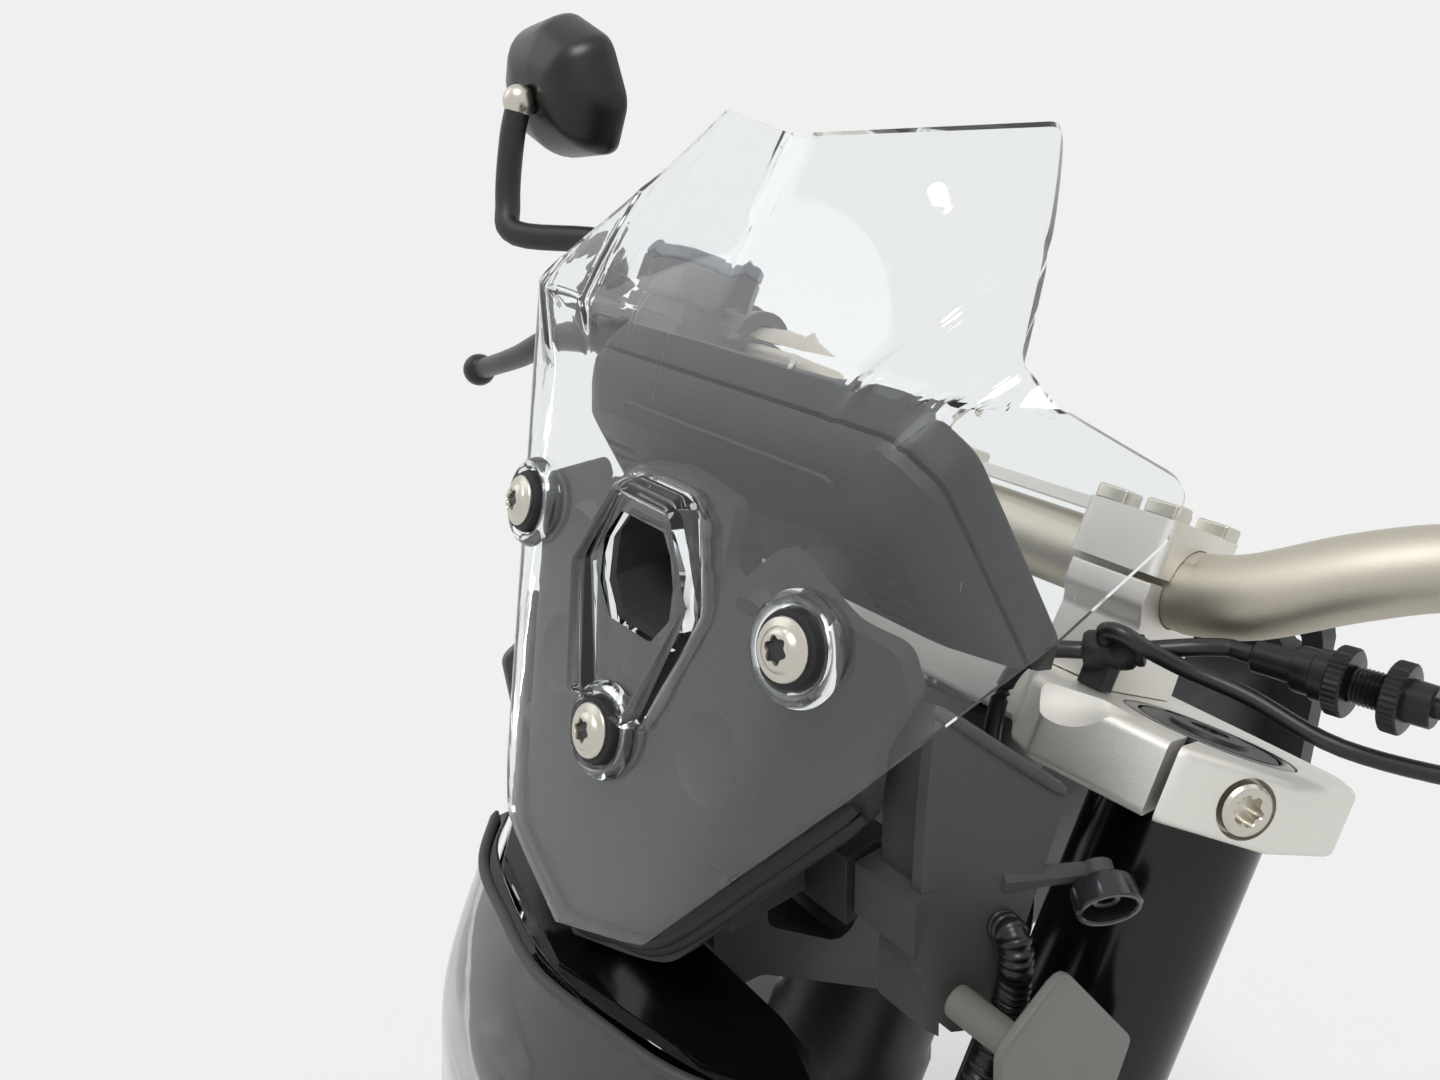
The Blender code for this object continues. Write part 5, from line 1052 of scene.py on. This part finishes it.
class FRONTEND_OT_fork(bpy.types.Operator):
    """Adds the fork's outer tubes, caps and stanchions"""
    bl_idname = "frontend.fork"
    bl_label = "Fork"

    def execute(self, context):
        foot, top, radius = FORK_FOOT, YOKE_TOP, LEG_RADIUS
        outer = [(0, foot + 0.05), (0.0245, foot + 0.05), (0.0245, foot + 0.012), (0.0218, foot + 0.012),
                 (0.0218, foot), (0.025, foot), (0.0285, foot + 0.004), (0.029, foot + 0.006),
                 (0.029, foot + 0.0265), (0.0285, foot + 0.029), (0.0272, foot + 0.0335),
                 (radius, foot + 0.036), (radius, top - 0.0015), (radius - 0.0004, top - 0.0004),
                 (radius - 0.0015, top), (0.0225, top), (0.0225, top - 0.006), (0, top - 0.006)]
        seat = top - 0.0057
        cap = [(0.0214, seat, 0), (0.0222, seat + 0.001, 0), (0.0222, top - 0.001, 0), (0.0212, top, 0),
               (0.0125, top, 0), (0.0122, top + 0.0012, 0), (0.0112, top + 0.0015, 0),
               (0.0062, top + 0.0015, 0.0004), (0.0058, top - 0.002, 0.0004)]
        tube = [(0, STANCHION_FOOT), (0.021, STANCHION_FOOT), (0.0215, STANCHION_FOOT + 0.0008),
                (0.0215, foot + 0.0497), (0, foot + 0.0497)]
        for label, side in SIDES:
            place = STEER @ Matrix.Translation((side * LEG_X, LEG_Y, 0))
            piece(f"fork_tube_{label}", turned(outer, 96), "black_gloss", TURNING, f"fork_outer_{label}",
                  place, angle=35)
            piece(f"tube_cap_{label}", lobed(cap, 72), "black_cast", TURNING, f"fork_cap_{label}", place,
                  angle=30)
            piece(f"stanchion_tube_{label}", turned(tube, 80), "steel", TURNING, f"stanchion_{label}", place,
                  angle=35)
        return {"FINISHED"}


class FRONTEND_OT_cables(bpy.types.Operator):
    """Adds the clutch cable with its adjuster and boot, the switch lead and the lamp's ribbed conduit"""
    bl_idname = "frontend.cables"
    bl_label = "Cables"

    # The cables' points as the model has them
    LEAD = [(0.242, 0.002, 0.0474), (0.2405, 0.0005, 0.038), (0.228, -0.005, 0.027), (0.204, -0.012, 0.018),
            (0.175, -0.017, 0.008), (0.14, -0.022, 0.002), (0.112, -0.03, 0.006), (0.095, -0.039, 0.007),
            (0.086, -0.05, 0.009), (0.079, -0.056, 0.011), (0.0737, -0.0562, 0.01),
            (0.0726, -0.0528, 0.0072)]
    CONDUIT = [(0.1086, -0.1331, -0.0119), (0.1145, -0.1358, -0.0108), (0.1168, -0.1368, -0.018),
               (0.116, -0.1372, -0.032), (0.114, -0.141, -0.05), (0.11, -0.149, -0.07),
               (0.1035, -0.161, -0.085), (0.096, -0.172, -0.0905), (0.0903, -0.1752, -0.0901),
               (0.0874, -0.1771, -0.0892)]

    def clutch_route(self):
        """The cable's points from the lever's perch through the adjuster and the guide to the lower yoke."""
        start, end = ADJUSTER
        spare, run = end - start, GUIDE[1] - GUIDE[0]
        return [(0.222, -0.03, 0.06), (0.2195, -0.0298, 0.05), (0.208, -0.0285, 0.037),
                (0.188, -0.0266, 0.028), end + spare * 0.2, end + spare * 0.04, start - spare * 0.04,
                start - spare * 0.16, (0.092, -0.035, 0.014), GUIDE[0] - run * 0.08, GUIDE[1] + run * 0.08,
                (0.056, -0.0585, -0.0045), (0.0505, -0.0615, -0.015), (0.05, -0.061, -0.03),
                (0.053, -0.056, -0.047), (0.065, -0.044, -0.068), (0.0735, -0.0365, -0.092),
                (0.0742, -0.0345, -0.12), (0.0742, -0.0345, -0.16), (0.0742, -0.0345, -0.2057)]

    def adjuster(self):
        """Rows of the adjuster: a sleeve, a knurled wheel, a threaded barrel and a second wheel."""
        rows = [(0.0046, 0.0, 0), (0.0052, 0.0008, 0), (0.0054, 0.0125, 0), (0.007, 0.0132, 0),
                (0.0074, 0.0142, 0), (0.0074, 0.0188, 0), (0.0083, 0.0194, 0), (0.0083, 0.0238, 0)]
        for first, threads in ((0.024, 0), (0.0395, 8)):
            for k in range(threads):
                rows += [(0.0052, 0.0297 + 0.0012 * k, 0), (0.0058, 0.0303 + 0.0012 * k, 0)]
            rows += [(0.01, first + 0.0001, 0), (0.0106, first + 0.0006, 0.00025),
                     (0.0106, first + 0.0049, 0.00025), (0.01, first + 0.0054, 0)]
        return rows + [(0.0066, 0.0451, 0), (0.0064, 0.0515, 0), (0.0058, 0.052, 0)]

    def execute(self, context):
        cables = (("clutch_cable", self.clutch_route(), CABLE_RADIUS),
                  ("switch_lead", self.LEAD, LEAD_RADIUS))
        for node, route, radius in cables:
            path = smooth_path(route, 6)
            made = piece(f"{node}_sheath", swept(path, [radius] * len(path)), "sheath", TURNING, node,
                         angle=50)
        piece("knurled_adjuster", lobed(self.adjuster(), 144, 36), "smooth_black", TURNING, "cable_adjuster",
              STEER @ at(ADJUSTER[0], ADJUSTER[1] - ADJUSTER[0]), angle=25)
        run = GUIDE[1] - GUIDE[0]
        end = run.length
        boot = [(0.004, -0.005, 0), (0.0052, -0.0046, 0), (0.0054, -0.003, 0), (0.005, -0.0022, 0),
                (0.0062, -0.001, 0), (0.0066, 0.001, 0), (0.0066, 0.004, 0), (0.006, 0.0052, 0),
                (0.006, 0.007, 0), (0.0067, 0.008, 0), (0.0067, end - 0.001, 0), (0.0058, end + 0.0006, 0),
                (0.004, end + 0.001, 0)]
        foot = block((0.0665, -0.049, YOKE_TOP + GAP), (0.0755, -0.042, 0.001))
        shape = carved(moved(lobed(boot, 48, 1), at(GUIDE[0], run)), ("UNION", foot))
        piece("cable_boot", shape, "rubber", TURNING, "cable_guide", angle=35, soft=0.0005)
        path = smooth_path(self.CONDUIT, 24)
        radii, reach = [], 0.0
        for before, spot in zip(path[:1] + path, path):
            reach += (spot - before).length
            # The rings of a corrugated tube
            ring = eased(0.5 + 0.9 * math.sin(math.tau * reach / RING_PITCH))
            radii.append(CONDUIT_RADIUS + RING_HEIGHT * ring)
        made = piece("ribbed_conduit", swept(path, radii, 24), "smooth_black", STATIC, "wiring_conduit",
                     angle=60)
        return {"FINISHED"}


class FRONTEND_OT_sides(bpy.types.Operator):
    """Adds the fastener cups and the rims of the inner panels"""
    bl_idname = "frontend.sides"
    bl_label = "Side pieces"

    # The rim's points in Y and Z
    RIM = [(-0.1445, 0.053), (-0.134, 0.0428), (-0.123, 0.0322), (-0.1135, 0.0232)]

    def panel_x(self, y, z):
        """How far out the inner panel's slanting face lies."""
        return 0.0905 + 0.471 * (y + 0.144) - 0.189 * (z - 0.054)

    def execute(self, context):
        cup = [(0, -0.008), (0.0078, -0.008), (0.0088, -0.0072), (0.009, -0.0062), (0.0092, -0.001),
               (0.0092, -0.0003), (0.0088, 0.0002), (0.0078, 0.0002), (0.0074, -0.0003), (0.0072, -0.006),
               (0.0042, -0.0062), (0.0041, -0.003), (0.0037, -0.0026), (0.0026, -0.0026), (0.0022, -0.003),
               (0.0021, -0.0064), (0, -0.0064)]
        for label, side in SIDES:
            place = DATUM @ at((side * 0.126, -0.11, -0.008), (side * 0.78, -0.5, -0.37))
            piece(f"fastener_socket_{label}", turned(cup, 64), "smoked", STATIC, f"fastener_cup_{label}",
                  place, angle=35)
            route = [(side * (self.panel_x(y, z) - 0.0005), y, z + 0.0006) for y, z in self.RIM]
            path = smooth_path(route, 5)
            bead = swept(path, tapered(path, 0.0019, 0.0012))
            piece(f"panel_rim_{label}", bead, "grey_plastic", STATIC, angle=40)
        return {"FINISHED"}


class FRONTEND_OT_lamp(bpy.types.Operator):
    """Adds the headlamp's daytime light, inner bowls and trim"""
    bl_idname = "frontend.lamp"
    bl_label = "Headlamp"

    # Places across the lamp's front edge at its top: x, y, z
    BROW = [(0.09, -0.1905, -0.061), (0.06, -0.2105, -0.056), (0.03, -0.218, -0.0552), (0.0, -0.2225, -0.055)]
    # The lamp's front: distance across, then y and z at its top, middle and foot
    FRONT = ((0.09, (-0.182, -0.062), (-0.199, -0.096), (-0.21, -0.128)),
             (0.06, (-0.202, -0.057), (-0.224, -0.103), (-0.231, -0.146)),
             (0, (-0.214, -0.056), (-0.236, -0.105), (-0.24, -0.15)))
    # How far ahead of those places the cover's outer and inner faces lie
    OUTER, INNER = Vector((0, -0.008, 0)), Vector((0, -0.002, 0))
    LIGHT_OFFSET = Vector((0, 0.0105, -0.006))

    def cover(self):
        """The curved cover as one sheet through smoothed stations across the lamp."""
        half = [[Vector((x, y, z)) for y, z in row] for x, *row in self.FRONT]
        whole = half + [[Vector((-p.x, p.y, p.z)) for p in row] for row in reversed(half[:-1])]
        lines = [smooth_path(line, 8) for line in zip(*whole)]
        columns = [smooth_path(station, 6) for station in zip(*lines)]
        return lofted([[p + self.OUTER for p in column] + [p + self.INNER for p in reversed(column)]
                       for column in columns])

    def execute(self, context):
        piece("lamp_cover", self.cover(), "lamp_cover", STATIC, "headlamp_lens", angle=40,
              soft=0.0012, steps=3)
        path = smooth_path(mirrored(self.BROW), 8)
        trim = swept(path, tapered(path, 0.002, 0.001))
        piece("lamp_trim", trim, "grey_plastic", STATIC, angle=50)
        inner = [spot + self.LIGHT_OFFSET for spot in path[5:-5]]
        light = swept(inner, tapered(inner, 0.0022, 0.001))
        piece("daytime_light", light, "light_guide", STATIC, angle=50)
        bowl = [(0.0265, 0.0), (0.027, 0.0006), (0.0262, 0.0012), (0.025, 0.0004), (0.0215, -0.0055),
                (0.015, -0.009), (0.006, -0.0102), (0, -0.0104), (0, -0.0112), (0.016, -0.01),
                (0.0225, -0.0062)]
        for label, side in SIDES:
            place = DATUM @ at((side * 0.036, -0.214, -0.103), (0, -0.9, 0.42))
            piece(f"reflector_{label}", turned(bowl, 64), "reflector", STATIC, place=place, angle=40)
        return {"FINISHED"}


class FRONTEND_OT_mirrors(bpy.types.Operator):
    """Adds the mirrors on their arms"""
    bl_idname = "frontend.mirrors"
    bl_label = "Mirrors"

    OUTLINE = [(-0.046, -0.007, 0.014), (-0.032, -0.032, 0.012), (0.008, -0.036, 0.018),
               (0.04, -0.024, 0.016), (0.046, 0.005, 0.012), (0.037, 0.03, 0.012), (0, 0.036, 0.018),
               (-0.034, 0.023, 0.016)]
    HALF_WIDTH, HALF_HEIGHT = 0.046, 0.036
    # Rows from the front to the rear: how far in from the outline, and how far to the rear
    DOME = [(0.03, -0.0222), (0.024, -0.0212), (0.0185, -0.0196), (0.0135, -0.0172), (0.009, -0.0138),
            (0.0055, -0.0098), (0.003, -0.0056), (0.0012, -0.001), (0.0002, 0.0035), (0.0, 0.007),
            (0.0006, 0.0095), (0.0016, 0.01), (0.0032, 0.0098), (0.004, 0.009), (0.0042, 0.0076)]
    PANE = [(0.0046, 0.0072), (0.0043, 0.008), (0.0043, 0.0088), (0.005, 0.0094)]
    HEAD_AT, BALL_AT, BALL_RADIUS = (0.3, -0.097, 0.166), Vector((0.3, -0.119, 0.149)), 0.0085
    # The first points of the arm are the thicker root above its perch
    ROOT_POINTS = 9

    def through(self, rows):
        """A body through the mirror's outline at rows of inset and place."""
        outline = rounded(self.OUTLINE, 6)
        return lofted([[(x * (1 - inset / self.HALF_WIDTH), y, z * (1 - inset / self.HALF_HEIGHT))
                        for x, z in outline] for inset, y in rows])

    def execute(self, context):
        bar = on_bar(MIRROR_AT, 1)
        foot = bar @ Vector((-0.0045, -0.09, 0.013))
        rise = bar @ Vector((-0.0165, -0.09, 0.013)) - foot
        route = [foot, foot + rise * 0.5, foot + rise, foot + rise * 1.7 + Vector((0.014, -0.004, 0)),
                 (0.288, -0.104, 0.086), (0.3, -0.108, 0.1), (0.301, -0.116, 0.13), self.BALL_AT]
        path = smooth_path(route, 6)
        radii = [0.0075] * self.ROOT_POINTS + [0.0065] * (len(path) - self.ROOT_POINTS)
        nut = [(0.0085, 0, 0), (0.0092, 0.0008, 0.0006), (0.0092, 0.0058, 0.0006), (0.0085, 0.0066, 0)]
        for label, side in SIDES:
            mirror = side_scale(side)
            place = Matrix.Translation(mirror @ Vector(self.HEAD_AT)) @ Matrix.Rotation(RAKE, 4, "X") @ mirror
            socket = ball(self.BALL_RADIUS + 0.0006, mirror @ self.BALL_AT)
            shell = cut(moved(self.through(self.DOME), place), socket)
            piece(f"mirror_housing_{label}", shell, "smooth_black", TURNING, f"mirror_shell_{label}",
                  angle=58)
            piece(f"mirror_pane_{label}", moved(self.through(self.PANE), place), "mirror", TURNING,
                  f"mirror_glass_{label}", angle=30)
            piece(f"mirror_stem_{label}", moved(swept(path, radii, 28), mirror), "black_cast", TURNING,
                  f"mirror_arm_{label}", angle=40)
            piece(f"mirror_ball_{label}", ball(self.BALL_RADIUS, mirror @ self.BALL_AT), "stainless", TURNING,
                  angle=60)
            piece(f"mirror_nut_{label}", moved(lobed(nut), mirror @ at(foot + rise * 0.12, rise)),
                  "black_cast", TURNING, angle=30)
        return {"FINISHED"}


class FRONTEND_OT_controls(bpy.types.Operator):
    """Adds the levers, the reservoir's cover and small controls"""
    bl_idname = "frontend.controls"
    bl_label = "Controls"

    LEVER = (Vector((0.224, -0.056, 0.0527)), Vector((0.385, -0.048, 0.009)))
    PIVOT_AT, RESERVOIR_AT = (0.224, -0.06, 0.0685), (-0.184, -0.06, 0)
    # Each key's finish and its place down and out on the switch housing
    KEYS = (("rubber", -0.007, 0.002), ("grey_plastic", 0.006, -0.003))

    def blade(self):
        """The left lever: a thinning blade that ends in a ball."""
        start, end = self.LEVER
        route = [start, start.lerp(end, 0.3) + Vector((0, -0.014, 0.004)),
                 start.lerp(end, 0.65) + Vector((0, -0.008, 0)), end]
        path = smooth_path(route, 12)
        radii = [0.0085 - 0.0024 * eased(k / (len(path) - 6)) for k in range(len(path))]
        return carved(swept(path, radii, 28), ("UNION", ball(0.0098, end, 32, 20)))

    def execute(self, context):
        pivot = [(0.0052, 0.0, 0), (0.0056, 0.0006, 0), (0.0056, 0.0032, 0), (0.0048, 0.0038, 0),
                 (0.0026, 0.0038, 0.0003), (0.0025, 0.0012, 0.0003)]
        for label, side in SIDES:
            mirror = side_scale(side)
            piece(f"lever_blade_{label}", moved(self.blade(), mirror), "smooth_black", TURNING,
                  f"lever_{label}", angle=50)
            spot = mirror @ at(self.PIVOT_AT, (0.05, 0.03, 1))
            piece(f"lever_pivot_{label}", moved(lobed(pivot), spot), "stainless", TURNING, angle=30)
        half = [(0, -0.023, 0), (0.018, -0.023, 0.005), (0.031, -0.008, 0.004), (0.031, 0.01, 0.004),
                (0.02, 0.022, 0.005), (0, 0.022, 0)]
        place = STEER @ Matrix.Translation(self.RESERVOIR_AT)
        outline = mirrored(rounded(half, 6))
        piece("reservoir_body", prism(outline, 0.0785, 0.0945), "black_cast", TURNING, "brake_reservoir",
              place, angle=30, soft=0.0012, steps=3)
        piece("reservoir_lid", prism(outline, 0.0948, 0.101), "reservoir_grey", TURNING, "reservoir_cover",
              place, angle=30, soft=0.0018, steps=4)
        for index, x in enumerate((0.022, -0.022)):
            spot = place @ Matrix.Translation((x, 0.004, 0.1011))
            screw_at(f"lid_screw_{index}", spot, TURNING, 0.0042, 0.002)
        for label, side in SIDES:
            for index, (finish, down, out) in enumerate(self.KEYS):
                key = prism(oblong((-0.0045, -0.005), (0.0045, 0.005), 0.0015, 3), 0.0, 0.0032)
                spot = on_bar(SWITCH_AT, side) @ Matrix.Translation((down, 0.0178, out))
                spot = STEER @ spot @ Matrix.Rotation(-math.pi / 2, 4, "X")
                piece(f"switch_key_{label}_{index}", key, finish, TURNING, place=spot, angle=30, soft=0.0008)
        return {"FINISHED"}


class FRONTEND_OT_softened(bpy.types.Operator):
    """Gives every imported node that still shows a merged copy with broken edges"""
    bl_idname = "frontend.softened"
    bl_label = "Broken edges"

    # Pieces with finer edges than the rest
    SMALL = ("lever_perch", "switch", "stem_nut")

    def execute(self, context):
        bodies = frame["record"]["behaviour"]["bodies"]
        body_of = {node: body for body, nodes in bodies.items() for node in nodes}
        for name in sorted(set(frame["nodes"]) - REPLACED):
            shape = bmesh.new()
            shape.from_mesh(frame["nodes"][name].data)
            close_shape(shape)
            bmesh.ops.dissolve_limit(shape, angle_limit=math.radians(0.8), verts=shape.verts,
                                     edges=shape.edges)
            piece(f"{name}_finished", shape, RECORD_SLOTS[name], body_of[name], name, WORLD,
                  soft=0.0008 if name.startswith(self.SMALL) else 0.0012)
        return {"FINISHED"}


class FRONTEND_OT_stage(bpy.types.Operator):
    """Adds the floor, the lights, the world and the camera"""
    bl_idname = "frontend.stage"
    bl_label = "Stage"

    FLOOR_SIZE, FLOOR_BELOW = 60.0, 0.004
    # Broad soft lamps: name, where it shines from, strength and how wide it looks in degrees
    SUNS = (("key", (0.5, -0.9, 1.9), 1.5, 25), ("fill", (-1.6, -1.2, 1.3), 0.3, 40),
            ("back", (0.9, 1.3, 1.2), 0.3, 45))
    AIM = Vector((0, -0.25, 0.05))
    # Where on the screen the small lamp is mirrored, in X and Z, and how far from there it hangs
    GLINT_AT, GLINT_REACH = (0.0498, 0.175), 1.2
    GLINT_STRENGTH, GLINT_SIZE = 0.4, 0.045
    # The world's strength as light, and as it is seen or mirrored
    WORLD_LIGHT, WORLD_SEEN = 0.5, 0.96

    def add_lamp(self, scene, name, place, target, kind, energy):
        """A lamp at a place that points at a target."""
        lamp = bpy.data.lights.new(name, kind)
        lamp.energy = energy
        made = bpy.data.objects.new(name, lamp)
        made.location = place
        made.rotation_euler = (target - Vector(place)).to_track_quat("-Z", "Y").to_euler()
        scene.collection.objects.link(made)
        return lamp

    def add_world(self, scene):
        """A pale even world: dimmer as a light than where a ray sees it directly or mirrored."""
        world = bpy.data.worlds.new("studio")
        world.use_nodes = True
        scene.world = world
        tree = world.node_tree
        path = add_node(tree, "ShaderNodeLightPath")
        seen = path.outputs["Is Camera Ray"]
        for kind in ("Is Glossy Ray", "Is Transmission Ray"):
            either = add_node(tree, "ShaderNodeMath", {"operation": "MAXIMUM"})
            tree.links.new(seen, either.inputs[0])
            tree.links.new(path.outputs[kind], either.inputs[1])
            seen = either.outputs["Value"]
        span = {"To Min": self.WORLD_LIGHT, "To Max": self.WORLD_SEEN}
        strength = add_node(tree, "ShaderNodeMapRange", span, Value=seen)
        back = tree.nodes["Background"]
        back.inputs["Color"].default_value = linear("#F4F5F6")
        tree.links.new(strength.outputs["Result"], back.inputs["Strength"])

    def add_camera(self, scene):
        """The camera that the photo was solved for."""
        camera = bpy.data.objects.new("camera", bpy.data.cameras.new("camera"))
        scene.collection.objects.link(camera)
        turn = Matrix((CAMERA_RIGHT, -CAMERA_DOWN, -CAMERA_AHEAD)).transposed().to_4x4()
        camera.matrix_world = DATUM @ Matrix.Translation(CAMERA_AT) @ turn
        camera.data.sensor_width = 36.0
        camera.data.lens = CAMERA_LENS
        camera.data.clip_start = 0.01
        scene.camera = camera

    def execute(self, context):
        scene = context.scene
        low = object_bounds()[0]
        shape = bmesh.new()
        bmesh.ops.create_grid(shape, x_segments=2, y_segments=2, size=self.FLOOR_SIZE)
        floor = as_object(moved(shape, Matrix.Translation((0, 0, low[2] - self.FLOOR_BELOW))), "floor")
        floor.data.materials.append(base_material("pale floor", linear("#F0F0EF"), Roughness=0.9,
                                                  Specular_IOR_Level=0.0)[0])
        floor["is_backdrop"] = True
        for name, place, strength, spread in self.SUNS:
            sun = self.add_lamp(scene, name, place, self.AIM, "SUN", strength)
            sun.angle = math.radians(spread)
        # A small lamp that the screen mirrors as one round highlight
        x, z = self.GLINT_AT
        spot = Vector((x, sheet_y(x, z), z))
        way = (spot - CAMERA_AT).normalized().reflect(lean(sheet_y, x, z))
        hung = DATUM @ (spot + way * self.GLINT_REACH)
        glint = self.add_lamp(scene, "glint", hung, DATUM @ spot, "AREA", self.GLINT_STRENGTH)
        glint.shape = "DISK"
        glint.size = self.GLINT_SIZE
        self.add_world(scene)
        self.add_camera(scene)
        scene.view_settings.view_transform = "Standard"
        return {"FINISHED"}


OPERATORS = (FRONTEND_OT_finishes, FRONTEND_OT_windscreen, FRONTEND_OT_carrier, FRONTEND_OT_display,
             FRONTEND_OT_yokes, FRONTEND_OT_clamp, FRONTEND_OT_bar, FRONTEND_OT_fork, FRONTEND_OT_cables,
             FRONTEND_OT_sides, FRONTEND_OT_lamp, FRONTEND_OT_mirrors, FRONTEND_OT_controls,
             FRONTEND_OT_softened, FRONTEND_OT_stage)


class FRONTEND_PT_panel(bpy.types.Panel):
    """Lists the pieces' operators"""
    bl_idname = "FRONTEND_PT_panel"
    bl_label = "Front end"
    bl_space_type = "VIEW_3D"
    bl_region_type = "UI"
    bl_category = "Front end"

    def draw(self, context):
        for operator in OPERATORS:
            self.layout.operator(operator.bl_idname)
        for group in (context.scene.front_end_screen, context.scene.front_end_colours):
            for key in group.bl_rna.properties.keys():
                if key not in ("rna_type", "name"):
                    self.layout.prop(group, key)


CLASSES = (ScreenSettings, ColourSettings, *OPERATORS, FRONTEND_PT_panel)


def register():
    """Registers the classes and hangs the settings on the scene."""
    for item in CLASSES:
        bpy.utils.register_class(item)
    bpy.types.Scene.front_end_screen = bpy.props.PointerProperty(type=ScreenSettings)
    bpy.types.Scene.front_end_colours = bpy.props.PointerProperty(type=ColourSettings)


def unregister():
    """Takes back what register did."""
    del bpy.types.Scene.front_end_colours
    del bpy.types.Scene.front_end_screen
    for item in reversed(CLASSES):
        bpy.utils.unregister_class(item)


def main():
    """Builds everything through the operators."""
    register()
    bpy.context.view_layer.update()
    for operator in OPERATORS:
        group, name = operator.bl_idname.split(".")
        getattr(getattr(bpy.ops, group), name)()


if __name__ == "__main__":
    main()
